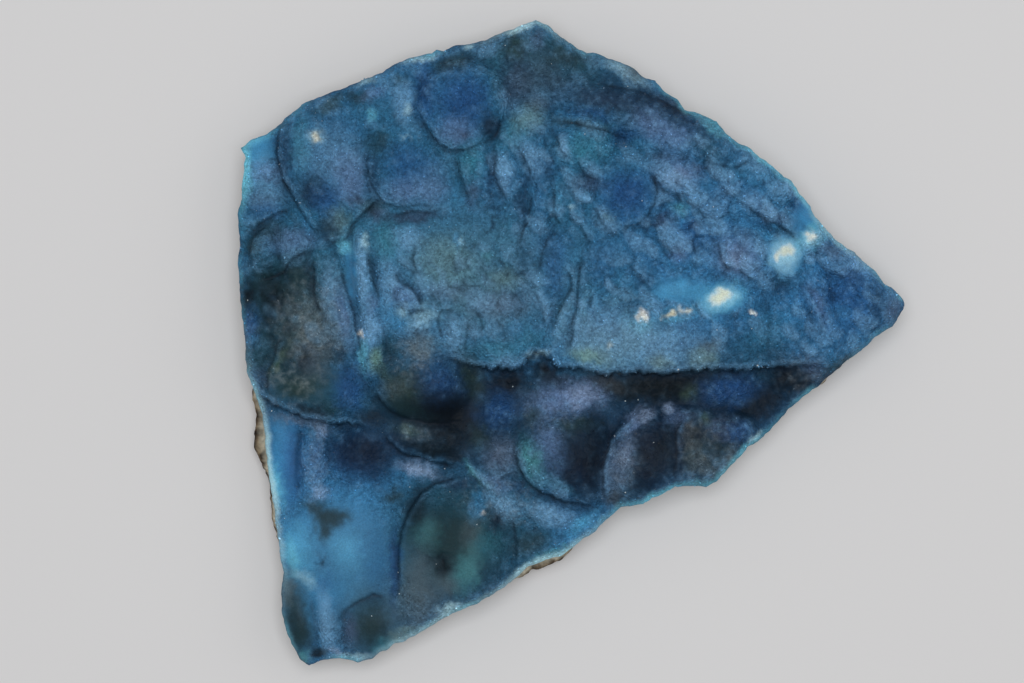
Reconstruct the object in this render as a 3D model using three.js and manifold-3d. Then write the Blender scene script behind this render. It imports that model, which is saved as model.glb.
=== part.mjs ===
// Raw hemimorphite: a thin broken plate of banded rock, with a blue botryoidal crust grown over it.
// Two solids make it up: the crust, with its lobes, shingled lips and ledge, and the rock that it grew on.
// Units are millimetres, +Z is up, and the plate lies on its rock side. The origin is on the surface
// that it rests on, at the middle of the plate seen from above, where +X is right and +Y is up the page.
import * as THREE from "three";
import { mergeVertices } from "three/addons/utils/BufferGeometryUtils.js";
import Module from "manifold-3d";

const wasm = await Module();
wasm.setup();

// Driving dimensions
const CRUST_GRID = 1.7; // spacing of the points that carry the lobes
const ROCK_GRID = 5; // the same for the seam and the rock's underside
const SEAM_GAP = 0.3; // air left between the crust and the rock, so that the two solids never overlap
const RIM_ROUNDING = 1.3; // how far the crust drops where it reaches its broken edge
const RIM_WIDTH = 1.4;
const BLEND = 0.22; // how softly two lobes meet
const LIP_ROUNDING = 1.0; // how far back from its crease a lip starts to curve down
const UNEVENNESS = 0.16; // how far small swells stand out over the whole crust
const CRUST_INSET = 0.35; // how far the crust's broken edge leans in at its foot
const ROCK_INSET = 1.1; // how far the rock stands back under the crust, where it doesn't stick out
const HALF_PLATE = 50; // no place of the plate is further right, left, up or down than this
const SKIN_CLEARANCE = 5; // how far the cutting blocks run past what they cut

// The broken edge of the crust, clockwise from the topmost tip
const OUTLINE = [
  [-5.3, 48.2], [-3.7, 47.5], [-2.1, 46.0], [-0.7, 44.9], [1.2, 43.7], [2.3, 43.1], [3.2, 43.3],
  [4.5, 42.8], [6.8, 41.9], [8.8, 41.2], [10.7, 39.5], [12.4, 39.0], [13.7, 37.5], [15.7, 36.2],
  [16.8, 34.7], [19.0, 34.1], [21.5, 32.9], [23.2, 30.9], [24.4, 29.9], [26.4, 29.0], [27.8, 27.6],
  [29.4, 26.6], [31.4, 24.7], [32.6, 24.2], [33.8, 22.4], [35.5, 20.3], [36.2, 18.8], [38.1, 16.6],
  [39.6, 15.2], [42.2, 13.7], [43.2, 12.3], [45.3, 10.7], [46.4, 9.0], [48.0, 8.2], [49.3, 6.8],
  [49.8, 5.7], [49.4, 4.7], [47.9, 2.5], [45.5, 1.1], [43.7, -0.6], [41.3, -2.4], [38.6, -4.7],
  [36.7, -6.6], [34.6, -8.0], [32.5, -9.8], [31.1, -11.5], [29.6, -13.1], [27.2, -15.1],
  [26.3, -15.5], [24.4, -17.6], [22.4, -19.7], [21.6, -20.7], [20.1, -21.4], [17.8, -21.2],
  [15.4, -21.3], [13.6, -22.4], [12.0, -23.0], [10.7, -23.9], [7.5, -24.5], [5.3, -26.2],
  [3.9, -27.8], [2.0, -29.1], [0.5, -30.3], [-1.5, -31.7], [-3.8, -32.3], [-6.0, -33.1],
  [-7.7, -34.5], [-9.9, -36.3], [-13.6, -38.5], [-16.1, -39.6], [-18.0, -40.4], [-19.8, -41.5],
  [-22.5, -43.2], [-25.1, -44.6], [-26.1, -44.8], [-27.6, -45.8], [-28.4, -46.0], [-29.6, -47.0],
  [-31.8, -47.6], [-34.5, -46.9], [-37.4, -47.4], [-39.1, -48.2], [-40.5, -47.1], [-41.7, -44.7],
  [-42.8, -41.9], [-43.3, -38.6], [-43.0, -34.1], [-43.4, -31.4], [-43.9, -28.1], [-44.4, -24.3],
  [-44.9, -21.3], [-45.4, -17.9], [-45.7, -13.8], [-46.1, -10.4], [-47.1, -7.5], [-48.2, -4.2],
  [-48.4, -2.3], [-48.5, 1.2], [-49.1, 5.3], [-49.4, 9.5], [-49.7, 12.2], [-49.3, 14.3],
  [-49.7, 19.2], [-49.1, 21.5], [-48.8, 24.5], [-48.6, 27.6], [-49.2, 29.1], [-47.6, 30.3],
  [-45.2, 31.1], [-43.7, 32.3], [-41.0, 34.7], [-39.3, 35.9], [-36.8, 36.8], [-33.6, 38.0],
  [-30.8, 39.2], [-28.1, 40.3], [-26.6, 41.3], [-24.0, 42.4], [-20.7, 43.1], [-20.0, 43.6],
  [-18.9, 43.4], [-17.1, 44.3], [-14.3, 44.7], [-12.5, 45.2], [-10.5, 46.1], [-8.6, 46.7],
];

// The general height of the crust's low ground: place across the plate, and height
const GROUND_REACH = 7;
const GROUND = [
  [-45, 25, 9.0], [-36, 30, 9.6], [-20, 38, 9.9], [-5, 44, 9.0], [10, 38, 10.1], [22, 28, 10.3],
  [32, 20, 9.9], [46, 7, 7.6], [36, 2, 9.4], [15, 12, 11.3], [0, 15, 11.5], [-15, 18, 11.2],
  [-15, 5, 11.4], [5, 0, 11.2], [-44, 10, 9.0], [-42, -4, 9.2], [-30, 8, 10.7], [0, -8, 8.6],
  [20, -8, 8.2], [33, -6, 7.4], [18, -18, 7.8], [-12, -10, 8.8], [-25, -12, 8.8], [-43, -15, 7.0],
  [-35, -28, 7.8], [-39, -43, 6.7], [-25, -42, 7.1], [-12, -32, 8.0], [0, -27, 7.8],
];

// The lobes: place, two half widths, turn in degrees, height of the crown, drop to the rim,
// and how flat the crown is (2 is a plain dome, 4 a disc with steep sides)
const LOBES = [
  // upper left, three large domes and the disc
  [-36.3, 27.5, 6.9, 9.9, 8, 11.6, 1.6, 2.5],
  [-36.8, 19.7, 4.2, 4.2, 0, 10.9, 1.4, 2],
  [-31.8, 21.0, 3.3, 3.3, 0, 11.1, 1.2, 2],
  [-23.7, 25.7, 6.3, 6.6, 0, 12.0, 1.3, 2],
  [-16.1, 34.7, 6.0, 6.4, 0, 12.2, 1.2, 4],
  [-6.0, 42.5, 7.5, 4.5, 0, 10.9, 1.3, 2],
  // left edge, the composite dome and its ribs
  [-45.3, 13.2, 2.4, 3.6, 0, 10.6, 1.2, 2],
  [-40.8, 14.0, 2.7, 3.9, 0, 10.8, 1.1, 2],
  [-40.5, 2.0, 8.4, 9.3, 0, 11.6, 2.2, 2],
  [-37.8, -4.8, 6.9, 6.8, 0, 11.3, 2.0, 2],
  [-46.2, -0.3, 3.0, 7.2, 0, 10.4, 1.6, 2],
  [-34.8, 6.5, 2.7, 8.3, 8, 11.9, 1.0, 2],
  [-30.3, 7.2, 1.4, 7.8, 6, 12.0, 0.9, 2],
  [-29.6, 0.2, 1.7, 3.3, 0, 11.8, 0.8, 2],
  // the rough plateau in the middle
  [-17.3, 8.0, 11.3, 9.3, 0, 12.5, 1.4, 2],
  [-24.3, 12.2, 4.5, 4.5, 0, 12.4, 0.9, 2],
  [-23.9, 6.5, 2.0, 1.3, -42, 13.0, 0.8, 3],
  [-22.5, 3.2, 3.0, 1.7, 25, 12.4, 0.7, 2],
  [-16.1, 2.3, 3.3, 2.7, 0, 12.6, 0.7, 2],
  [-10.5, 2.7, 4.2, 3.9, 0, 12.5, 0.8, 2],
  // tongues that hang down the page
  [-13.5, 25.7, 2.6, 5.7, 6, 12.2, 0.8, 2],
  [-9.3, 25.7, 2.1, 5.1, 8, 12.4, 0.8, 2],
  [-5.1, 28.7, 2.6, 4.5, 20, 12.7, 0.9, 2],
  [1.1, 29.3, 3.6, 3.3, 10, 12.9, 0.9, 2],
  [-4.2, 20.3, 1.5, 5.1, -6, 12.3, 0.7, 2],
  [0.6, 21.2, 3.0, 4.5, 8, 12.7, 0.8, 2],
  [-8.4, 16.7, 2.1, 6.0, -6, 12.1, 0.7, 2],
  [-1.5, 11.3, 2.7, 5.4, -8, 12.3, 0.8, 2],
  [-5.0, 6.5, 1.8, 3.9, 5, 12.3, 0.7, 2],
  [4.1, 11.7, 2.3, 4.8, 4, 12.4, 0.7, 2],
  [-1.2, 3.5, 1.5, 3.9, -18, 12.4, 0.7, 2],
  [2.1, 3.8, 1.7, 4.2, -18, 12.5, 0.7, 2],
  // the long ridge under the upper right edge
  [10.5, 33.2, 12.0, 3.3, -17, 12.3, 1.5, 2],
  [17.3, 29.3, 5.7, 2.0, -6, 12.6, 0.9, 2],
  [24.8, 28.2, 3.0, 2.1, -20, 11.4, 0.8, 2],
  // right, the second disc and the cluster of small lobes
  [7.5, 21.9, 5.1, 5.3, 0, 13.1, 1.3, 2.2],
  [15.5, 24.3, 3.2, 2.7, 0, 12.6, 0.9, 3],
  [20.6, 24.5, 1.7, 1.8, 0, 12.2, 0.6, 2],
  [21.3, 20.6, 2.1, 2.1, 0, 12.2, 0.8, 2],
  [23.9, 23.4, 1.5, 2.0, 0, 12.2, 0.7, 2],
  [26.7, 21.0, 2.3, 1.7, -10, 12.0, 0.7, 2],
  [30.0, 22.4, 2.1, 1.8, 0, 11.8, 0.6, 2],
  [27.8, 25.7, 3.6, 2.1, -20, 11.6, 0.7, 2],
  [31.2, 18.5, 3.6, 1.8, -30, 11.8, 0.8, 2],
  [25.5, 12.8, 4.1, 3.6, -20, 12.5, 1.0, 3],
  [17.6, 13.2, 4.1, 3.3, 0, 12.3, 0.8, 2],
  [31.4, 13.4, 2.7, 3.2, 0, 12.3, 1.1, 2],
  [35.1, 15.5, 2.4, 2.1, 20, 11.7, 0.9, 2],
  [16.5, 20.0, 2.4, 2.3, 0, 12.0, 0.7, 2],
  [9.8, 11.7, 4.8, 4.2, 0, 12.3, 0.8, 2],
  // the bright swell above the ledge, and the right tip
  [8.3, 1.2, 8.3, 5.7, 0, 12.8, 1.0, 2],
  [19.5, 1.7, 6.3, 5.4, 0, 12.5, 1.0, 2],
  [21.9, 6.5, 3.3, 2.1, 0, 12.9, 0.7, 2],
  [10.8, 3.8, 2.0, 1.7, 0, 13.1, 0.5, 2],
  [32.3, 3.2, 2.7, 5.1, -5, 11.5, 0.8, 2],
  [36.3, 6.5, 1.5, 6.3, 16, 11.4, 0.7, 2],
  [42.0, 6.5, 4.5, 5.1, 0, 10.4, 0.9, 2],
  [39.0, 12.2, 3.3, 1.8, -35, 10.7, 0.8, 2],
  [36.8, -0.3, 4.5, 2.7, 30, 10.9, 0.8, 2],
  // below the ledge
  [-22.2, -5.3, 7.5, 6.0, 0, 11.2, 1.8, 2.2],
  [-21.0, -13.4, 6.3, 3.8, -14, 9.9, 1.4, 2],
  [-10.8, -11.0, 3.6, 3.8, 0, 9.6, 1.1, 2],
  [0.5, -8.1, 6.3, 2.7, 8, 9.9, 1.1, 2],
  [-0.5, -16.8, 8.0, 7.2, 0, 10.8, 1.9, 2.6],
  [12.0, -16.4, 6.9, 7.8, -12, 10.9, 1.9, 2.6],
  [17.7, -11.3, 2.3, 1.8, 0, 9.9, 0.7, 2],
  [21.8, -16.4, 4.5, 4.8, 0, 9.7, 1.3, 2],
  [22.8, -12.8, 3.3, 2.1, 0, 9.8, 0.8, 2],
  // the tail
  [-38.1, -17.3, 1.8, 6.3, -4, 9.3, 0.8, 2],
  [-31.2, -16.1, 5.4, 4.5, 0, 9.0, 0.9, 2],
  [-33.8, -30.3, 8.3, 7.5, 0, 9.0, 1.1, 2],
  [-40.8, -40.8, 2.7, 6.0, 8, 8.5, 1.1, 2],
  [-36.0, -41.9, 1.7, 5.7, 8, 8.6, 0.8, 2],
  [-29.3, -41.9, 4.8, 4.5, 0, 8.8, 1.3, 2],
  [-17.7, -30.3, 7.8, 8.1, 0, 10.1, 1.8, 2.4],
  [-20.7, -27.8, 3.3, 3.6, 0, 10.4, 0.7, 2],
  [-14.4, -34.1, 3.3, 4.2, -20, 10.0, 0.8, 2],
  [-21.8, -38.6, 3.9, 3.3, 20, 8.9, 0.9, 2],
  [-6.0, -23.6, 8.7, 3.0, -16, 9.6, 0.9, 2],
  [-3.8, -29.6, 5.1, 2.7, 18, 8.8, 0.8, 2],
  [-11.3, -19.1, 3.9, 2.1, -35, 9.3, 0.7, 2],
];

// The lips, where one lobe overlaps the next: height of the step, how far it fades, and the line it
// follows. The high side is on the left of the line's direction.
const LIPS = [
  // the three large domes and the disc
  [0.7, 4.0, [[-42.5, 33.6], [-43.4, 31.0], [-43.7, 28.0], [-43.3, 26.0], [-42.5, 24.0], [-41.5, 22.0],
              [-40.2, 20.0], [-38.7, 17.4], [-37.0, 15.4]]],
  [0.6, 3.0, [[-37.0, 15.4], [-35.2, 14.9], [-33.4, 15.6], [-32.5, 17.5], [-31.0, 19.0], [-29.0, 21.0],
              [-27.6, 22.0]]],
  [0.6, 4.0, [[-29.6, 29.5], [-30.2, 26.5], [-29.6, 23.5], [-28.0, 21.0], [-25.5, 20.1], [-22.0, 20.6],
              [-19.0, 20.3]]],
  [0.6, 3.5, [[-22.3, 35.5], [-22.3, 34.0], [-21.5, 32.0], [-20.5, 30.5], [-19.0, 29.2], [-17.5, 28.5],
              [-15.5, 28.4], [-14.0, 29.0], [-12.3, 30.0], [-11.0, 31.2], [-10.2, 33.0], [-9.8, 34.8]]],
  [0.4, 2.0, [[-27.0, 18.5], [-24.0, 19.5], [-21.5, 19.4], [-19.0, 20.0]]],
  [0.5, 1.6, [[-48.0, 16.0], [-46.0, 18.0], [-44.0, 19.0], [-41.0, 20.0]]],
  // tongues and shingles that hang down the page
  [0.5, 2.6, [[-17.0, 27.4], [-16.8, 26.5], [-16.3, 24.5], [-15.5, 22.5], [-15.0, 21.0]]],
  [0.6, 2.6, [[-11.0, 28.5], [-11.3, 27.0], [-11.4, 25.0], [-10.8, 23.3], [-10.0, 22.0], [-9.5, 21.3]]],
  [0.6, 2.6, [[-8.0, 29.5], [-7.8, 28.3], [-7.0, 27.0], [-6.2, 25.8], [-5.8, 24.8]]],
  [0.6, 1.8, [[-2.2, 31.5], [-2.1, 30.0], [-1.8, 28.8], [-1.3, 27.8], [-0.3, 27.2]]],
  [0.5, 1.8, [[0.5, 27.0], [1.3, 26.0], [2.0, 25.0], [3.0, 24.5]]],
  [0.5, 3.0, [[-5.9, 23.0], [-6.0, 20.5], [-6.5, 18.0], [-7.3, 16.0], [-8.0, 13.5]]],
  [0.5, 3.0, [[-2.7, 24.0], [-2.6, 22.0], [-2.5, 20.0], [-2.0, 18.0], [-1.5, 17.3]]],
  [0.4, 2.0, [[-1.8, 16.7], [-3.5, 15.5], [-4.4, 12.8], [-5.1, 10.2]]],
  [0.5, 1.6, [[-5.7, 9.4], [-5.5, 7.6], [-4.7, 6.0], [-4.2, 4.2], [-3.9, 2.2]]],
  [0.4, 1.8, [[1.0, 18.0], [1.5, 17.0], [2.3, 15.5], [3.0, 14.8]]],
  [0.5, 1.8, [[-1.0, 11.6], [-0.3, 10.2], [0.1, 8.7], [-0.6, 7.0], [-1.6, 5.2], [-2.4, 3.2],
              [-3.1, 1.2]]],
  [0.6, 1.6, [[1.6, 13.2], [1.2, 10.6], [0.9, 8.0], [0.8, 5.4], [0.2, 3.4], [-0.1, 0.8], [-0.5, -1.8]]],
  [0.4, 1.6, [[3.2, 7.6], [2.8, 6.4], [2.3, 4.2], [1.8, 2.5]]],
  [0.5, 1.8, [[3.3, 20.3], [4.0, 18.5], [4.8, 17.5], [5.7, 16.5], [6.8, 15.6]]],
  // the left edge, the composite dome and its ribs
  [0.6, 3.0, [[-46.2, 9.4], [-44.0, 10.0], [-42.8, 10.5], [-42.0, 11.8], [-40.0, 13.2], [-38.0, 13.9]]],
  [0.4, 2.0, [[-44.3, 18.2], [-46.8, 16.2], [-47.6, 13.2], [-47.0, 11.0]]],
  [0.5, 3.0, [[-42.6, 0.8], [-43.5, -0.6], [-44.3, -3.0], [-45.0, -5.6], [-44.8, -7.6]]],
  [0.4, 1.8, [[-38.2, 13.0], [-38.0, 8.5], [-37.5, 6.0], [-36.7, 4.2]]],
  [0.6, 2.6, [[-31.0, -4.6], [-31.0, -2.0], [-31.3, 0.0], [-31.8, 2.5], [-32.3, 5.0], [-33.2, 7.5],
              [-33.8, 10.0], [-33.9, 12.6]]],
  [0.5, 1.6, [[-28.3, 5.8], [-28.6, 7.2], [-29.3, 9.0], [-29.9, 11.4], [-30.1, 14.2]]],
  [1.2, 4.5, [[-48.2, -5.8], [-46.4, -7.8], [-44.0, -9.2], [-42.0, -10.0], [-40.0, -10.8],
              [-38.0, -11.4], [-36.0, -11.8], [-33.0, -12.0], [-29.7, -12.6]]],
  // the rough plateau in the middle
  [0.4, 1.6, [[-23.2, 15.0], [-23.3, 12.6], [-22.9, 11.2], [-22.3, 10.0]]],
  [0.6, 1.4, [[-21.9, 5.2], [-22.6, 6.8], [-24.0, 8.2], [-25.6, 9.4], [-26.2, 10.6]]],
  [0.6, 1.4, [[-24.4, 3.9], [-23.4, 4.7], [-22.2, 5.0], [-21.9, 5.2]]],
  [0.5, 1.6, [[-19.1, 0.2], [-19.4, 1.6], [-19.6, 3.2], [-19.3, 4.7], [-18.2, 5.0], [-16.8, 4.8]]],
  [0.3, 1.4, [[-19.4, 4.9], [-20.0, 6.4], [-20.8, 7.4]]],
  [0.3, 1.2, [[-15.8, -1.4], [-15.6, 1.0], [-15.3, 2.6], [-15.5, 4.2]]],
  [0.3, 1.4, [[-13.6, 15.2], [-15.2, 13.4], [-15.6, 12.0], [-14.6, 10.6]]],
  // the ledge across the plate, and the arch in it
  [2.4, 6.0, [[-19.8, -2.0], [-17.6, -2.4], [-15.6, -2.9], [-13.6, -3.6], [-10.0, -3.9], [-7.4, -3.8],
              [-6.3, -2.2], [-5.1, -1.4], [-3.9, -1.5], [-3.0, -2.4], [-2.0, -3.9], [0.3, -3.7],
              [4.0, -4.6], [8.0, -4.5], [13.5, -4.6], [19.5, -3.9], [24.5, -4.0], [31.2, -3.5],
              [36.0, -3.0], [39.3, -3.9]]],
  // below the ledge
  [1.0, 3.0, [[-29.0, -7.0], [-28.2, -8.6], [-26.3, -10.2], [-24.0, -11.2], [-20.0, -11.8],
              [-15.6, -11.6]]],
  [1.0, 3.0, [[-28.1, -13.1], [-26.2, -15.3], [-24.2, -16.6], [-21.8, -17.1], [-19.4, -17.8],
              [-16.2, -18.3]]],
  [0.9, 3.4, [[-8.4, -14.0], [-8.5, -15.7], [-8.2, -17.2], [-7.7, -18.6], [-6.9, -20.0], [-5.7, -21.3],
              [-4.0, -22.3], [-2.0, -23.0], [0.4, -23.5], [3.0, -24.3], [5.1, -25.1]]],
  [0.9, 3.4, [[9.6, -10.6], [7.4, -12.2], [5.9, -14.2], [5.1, -16.4], [4.7, -18.6], [4.7, -21.0],
              [5.3, -24.0]]],
  [0.5, 2.0, [[16.6, -10.6], [15.6, -13.4], [15.4, -16.6], [15.2, -20.0]]],
  [0.9, 3.6, [[-15.0, -19.4], [-17.6, -20.2], [-20.2, -20.9], [-22.6, -22.6], [-24.2, -25.0],
              [-25.2, -28.0], [-25.6, -31.4], [-25.6, -35.0], [-25.4, -38.4]]],
  [0.4, 2.0, [[-9.0, -25.6], [-8.2, -28.0], [-8.0, -31.0], [-8.2, -33.8]]],
  [0.5, 1.6, [[-15.9, -17.6], [-14.9, -19.2], [-13.4, -20.9], [-12.0, -22.2]]],
  [0.5, 1.8, [[-34.6, -41.4], [-33.6, -39.6], [-32.0, -38.3], [-29.6, -37.3], [-27.4, -37.7]]],
  // the right side
  [0.6, 2.0, [[23.6, 21.6], [26.0, 20.0], [28.0, 18.7], [29.6, 18.0], [31.2, 17.1], [32.4, 16.2],
              [33.5, 15.1]]],
  [0.6, 1.6, [[12.3, 25.4], [12.5, 24.0], [13.2, 22.8], [14.5, 22.0], [16.5, 21.9], [17.9, 22.1]]],
  [0.6, 2.6, [[6.5, 17.7], [8.0, 17.3], [9.8, 17.7], [11.3, 19.0], [12.3, 20.5], [12.6, 22.5],
              [12.0, 24.5], [10.5, 26.0]]],
  [0.6, 1.6, [[21.3, 16.4], [21.7, 14.2], [22.0, 12.4], [23.0, 11.2], [25.0, 10.5], [26.5, 9.5],
              [27.6, 9.0]]],
  [0.4, 1.2, [[18.6, 20.6], [18.9, 19.6], [19.6, 18.6], [21.4, 18.4], [23.2, 18.9]]],
  [0.4, 1.2, [[22.0, 23.4], [22.6, 22.3], [23.8, 21.7], [25.4, 22.8]]],
  [0.3, 1.4, [[37.9, 1.4], [37.0, 3.8], [36.0, 6.0], [34.6, 8.6]]],
  [0.5, 2.0, [[4.5, 38.3], [6.0, 38.0], [9.0, 37.6], [12.0, 36.4], [16.0, 34.5], [18.6, 33.6]]],
  [0.5, 2.0, [[-3.0, 33.1], [0.0, 32.5], [3.0, 31.8], [6.0, 31.0], [9.0, 30.2]]],
];

// Where the rock sticks out past the crust: place, reach along the edge, and how far out
const ROCK_LEDGES = [
  [-46.8, -14.5, 10, 1.7],
  [-47.2, -7.6, 3, -0.2],
  [-44.9, -26.0, 5.5, 0.6],
  [-43.6, -31.0, 4, -0.1],
  [-49.4, 24.0, 4, 0.6],
  [-4.5, -33.2, 6, 1.3],
  [0.6, -30.6, 3.5, -0.1],
  [-8.8, -35.9, 4, -0.3],
  [38.0, -5.6, 3, 0.7],
];

// The seam between crust and rock: its height, how much it waves, and the length of a wave
const SEAM_HEIGHT = 3.1;
const SEAM_WAVE = 0.7;
const SEAM_WAVELENGTH = 17;
const SEAM_FALL = 0.03; // how much lower it is for each millimetre towards the right tip

// Chips out of the rock's flat underside: place, two half widths, and depth
const CHIPS = [
  [-40, 14, 8, 12, 1.3], [-20, 36, 12, 6, 1.1], [14, 27, 9, 7, 0.9], [37, 8, 9, 6, 1.2],
  [22, -12, 8, 6, 1.0], [-36, -14, 6, 9, 0.8], [-30, -40, 9, 6, 1.2], [-4, -22, 7, 7, 0.7],
  [-17, 15, 6, 5, 0.6], [-1, 40, 7, 5, 1.0],
];

const clamp01 = (t) => Math.min(1, Math.max(0, t));
const smooth = (t) => t * t * (3 - 2 * t);

// Smooth noise on a square lattice, from -1 to 1, the same at every run
function noise(x, y, seed) {
  const i = Math.floor(x);
  const j = Math.floor(y);
  const u = smooth(x - i);
  const v = smooth(y - j);
  const corner = (a, b) => {
    const wave = Math.sin(a * 127.1 + b * 311.7 + seed * 74.7) * 43758.5453;
    return wave - Math.floor(wave);
  };
  const low = corner(i, j) * (1 - u) + corner(i + 1, j) * u;
  const high = corner(i, j + 1) * (1 - u) + corner(i + 1, j + 1) * u;
  return 2 * (low * (1 - v) + high * v) - 1;
}

// The nearest point of a line of points: signed distance, positive on the left, and the share of the
// line's segments passed there. At a corner, two segments are as near, and the one that the place
// stands out from more squarely says the side.
function nearest(line, x, y) {
  let best = Infinity;
  let offset = 0;
  let along = 0;
  for (let k = 0; k + 1 < line.length; k++) {
    const [ax, ay] = line[k];
    const dx = line[k + 1][0] - ax;
    const dy = line[k + 1][1] - ay;
    const length = Math.hypot(dx, dy);
    const t = clamp01(((x - ax) * dx + (y - ay) * dy) / length ** 2);
    const distance = Math.hypot(x - ax - t * dx, y - ay - t * dy);
    const across = (dx * (y - ay) - dy * (x - ax)) / length;
    const isTie = Math.abs(distance - best) < 1e-9 && Math.abs(across) > Math.abs(offset);
    if (distance < best - 1e-9 || isTie) {
      best = distance;
      offset = across;
      along = (k + t) / (line.length - 1);
    }
  }
  return { distance: offset < 0 ? -best : best, along };
}

const CLOSED_OUTLINE = [...OUTLINE, OUTLINE[0]];

function groundHeight(x, y) {
  let total = 0;
  let weights = 0;
  for (const [px, py, height] of GROUND) {
    const weight = Math.exp(-((x - px) ** 2 + (y - py) ** 2) / (2 * GROUND_REACH ** 2)) + 1e-9;
    total += weight * height;
    weights += weight;
  }
  return total / weights;
}

function lobeHeight([cx, cy, a, b, turn, crown, drop, flatness], x, y) {
  const c = Math.cos(THREE.MathUtils.degToRad(turn));
  const s = Math.sin(THREE.MathUtils.degToRad(turn));
  const u = ((x - cx) * c + (y - cy) * s) / a;
  const v = ((y - cy) * c - (x - cx) * s) / b;
  return crown - drop * Math.hypot(u, v) ** flatness;
}

// How far a lip lowers a place: its high side curves down to the crease, and its low side starts
// there and comes back up with distance
function lipDrop([step, fade, line], x, y) {
  const { distance, along } = nearest(line, x, y);
  const ends = smooth(clamp01(along * 6)) * smooth(clamp01((1 - along) * 6));
  const share = distance > 0 ? (1 - clamp01(distance / LIP_ROUNDING)) ** 2 : Math.exp(distance / fade);
  return step * share * ends;
}

// Height of the crust's upper surface at one place
function crustHeight(x, y) {
  const ground = groundHeight(x, y) + 0.35 * noise(x / 5, y / 5, 1);
  const heights = [ground, ...LOBES.map((lobe) => lobeHeight(lobe, x, y))];
  const highest = Math.max(...heights);
  const blended = heights.reduce((total, height) => total + Math.exp((height - highest) / BLEND), 0);
  let height = highest + BLEND * Math.log(blended);
  for (const lip of LIPS) height -= lipDrop(lip, x, y);
  const toEdge = -nearest(CLOSED_OUTLINE, x, y).distance;
  height -= RIM_ROUNDING * Math.exp(-Math.max(toEdge, 0) / RIM_WIDTH);
  return height + UNEVENNESS * noise(x / 2.1, y / 2.1, 2);
}

// The same, as the mean over one cell of the grid, so that a steep lip that runs aslant has no steps
function crustTop(x, y) {
  let total = 0;
  const third = CRUST_GRID / 3;
  for (const dx of [-third, 0, third]) {
    for (const dy of [-third, 0, third]) total += crustHeight(x + dx, y + dy);
  }
  return total / 9;
}

// Height of the seam, where the crust ends and the rock begins
function seam(x, y) {
  const wave = SEAM_WAVE * noise(x / SEAM_WAVELENGTH, y / SEAM_WAVELENGTH, 3) + 0.25 * noise(x / 6, y / 6, 4);
  return SEAM_HEIGHT + wave - SEAM_FALL * Math.max(x, 0);
}

// Height of the rock's underside: flat, with chips out of it and a chipped rim
function underside(x, y) {
  let height = 0;
  for (const [cx, cy, a, b, depth] of CHIPS) {
    const bowl = 1 - ((x - cx) / a) ** 2 - ((y - cy) / b) ** 2;
    height = Math.max(height, depth * Math.max(bowl, 0) * (0.8 + 0.4 * noise(x / 4, y / 4, 5)));
  }
  return height;
}

// A closed block between a wavy sheet and a flat end, so that other solids can be cut with the sheet
function block(sheet, end, step) {
  const reach = HALF_PLATE + SKIN_CLEARANCE;
  const n = Math.ceil((2 * reach) / step);
  const at = (k) => -reach + (2 * reach * k) / n;
  const points = [];
  for (let j = 0; j <= n; j++) {
    for (let i = 0; i <= n; i++) points.push([at(i), at(j), sheet(at(i), at(j))]);
  }
  const faces = [];
  const index = (i, j) => j * (n + 1) + i;
  for (let j = 0; j < n; j++) {
    for (let i = 0; i < n; i++) {
      const [a, b, c, d] = [index(i, j), index(i + 1, j), index(i + 1, j + 1), index(i, j + 1)];
      const along = Math.abs(points[a][2] - points[c][2]) < Math.abs(points[b][2] - points[d][2]);
      faces.push(...(along ? [[a, b, c], [a, c, d]] : [[a, b, d], [b, c, d]]));
    }
  }
  const rim = [];
  for (let k = 0; k < n; k++) rim.push(index(k, 0));
  for (let k = 0; k < n; k++) rim.push(index(n, k));
  for (let k = n; k > 0; k--) rim.push(index(k, n));
  for (let k = n; k > 0; k--) rim.push(index(0, k));
  const first = points.length;
  for (const r of rim) points.push([points[r][0], points[r][1], end]);
  const centre = points.push([0, 0, end]) - 1;
  rim.forEach((r, k) => {
    const next = (k + 1) % rim.length;
    const [foot, nextFoot] = [first + k, first + next];
    faces.push([r, foot, rim[next]], [rim[next], foot, nextFoot], [foot, centre, nextFoot]);
  });
  if (end > 0) faces.forEach((face) => face.reverse());
  return solidFrom(points, faces);
}

// The faces that close a ring of points, whose first point has the number first. They face up or down.
function cap(points, first, facesUp) {
  const ring = points.slice(first, first + OUTLINE.length).map(([x, y]) => new THREE.Vector2(x, y));
  return THREE.ShapeUtils.triangulateShape(ring, []).map((triangle) => {
    const isUp = THREE.ShapeUtils.area(triangle.map((k) => ring[k])) > 0;
    const numbers = triangle.map((k) => first + k);
    return isUp === facesUp ? numbers : numbers.reverse();
  });
}

// A closed column that follows the outline, pushed outwards by shift(x, y, level) at each level
function column(levels, shift) {
  const count = OUTLINE.length;
  const points = [];
  for (const level of levels) {
    OUTLINE.forEach(([x, y], k) => {
      const [px, py] = OUTLINE[(k + count - 1) % count];
      const [nx, ny] = OUTLINE[(k + 1) % count];
      const out = shift(x, y, level) / Math.hypot(nx - px, ny - py);
      points.push([x - out * (ny - py), y + out * (nx - px), level]);
    });
  }
  const faces = [];
  for (let l = 0; l + 1 < levels.length; l++) {
    for (let k = 0; k < count; k++) {
      const [a, b] = [l * count + k, l * count + ((k + 1) % count)];
      faces.push([a, a + count, b], [b, a + count, b + count]);
    }
  }
  const last = (levels.length - 1) * count;
  return solidFrom(points, [...faces, ...cap(points, 0, false), ...cap(points, last, true)]);
}

function solidFrom(points, faces) {
  const geometry = new THREE.BufferGeometry();
  geometry.setAttribute("position", new THREE.Float32BufferAttribute(points.flat(), 3));
  geometry.setIndex(faces.flat());
  const merged = mergeVertices(geometry, 1e-4);
  return new wasm.Manifold(new wasm.Mesh({
    numProp: 3,
    vertProperties: new Float32Array(merged.attributes.position.array),
    triVerts: new Uint32Array(merged.index.array),
  }));
}

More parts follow.
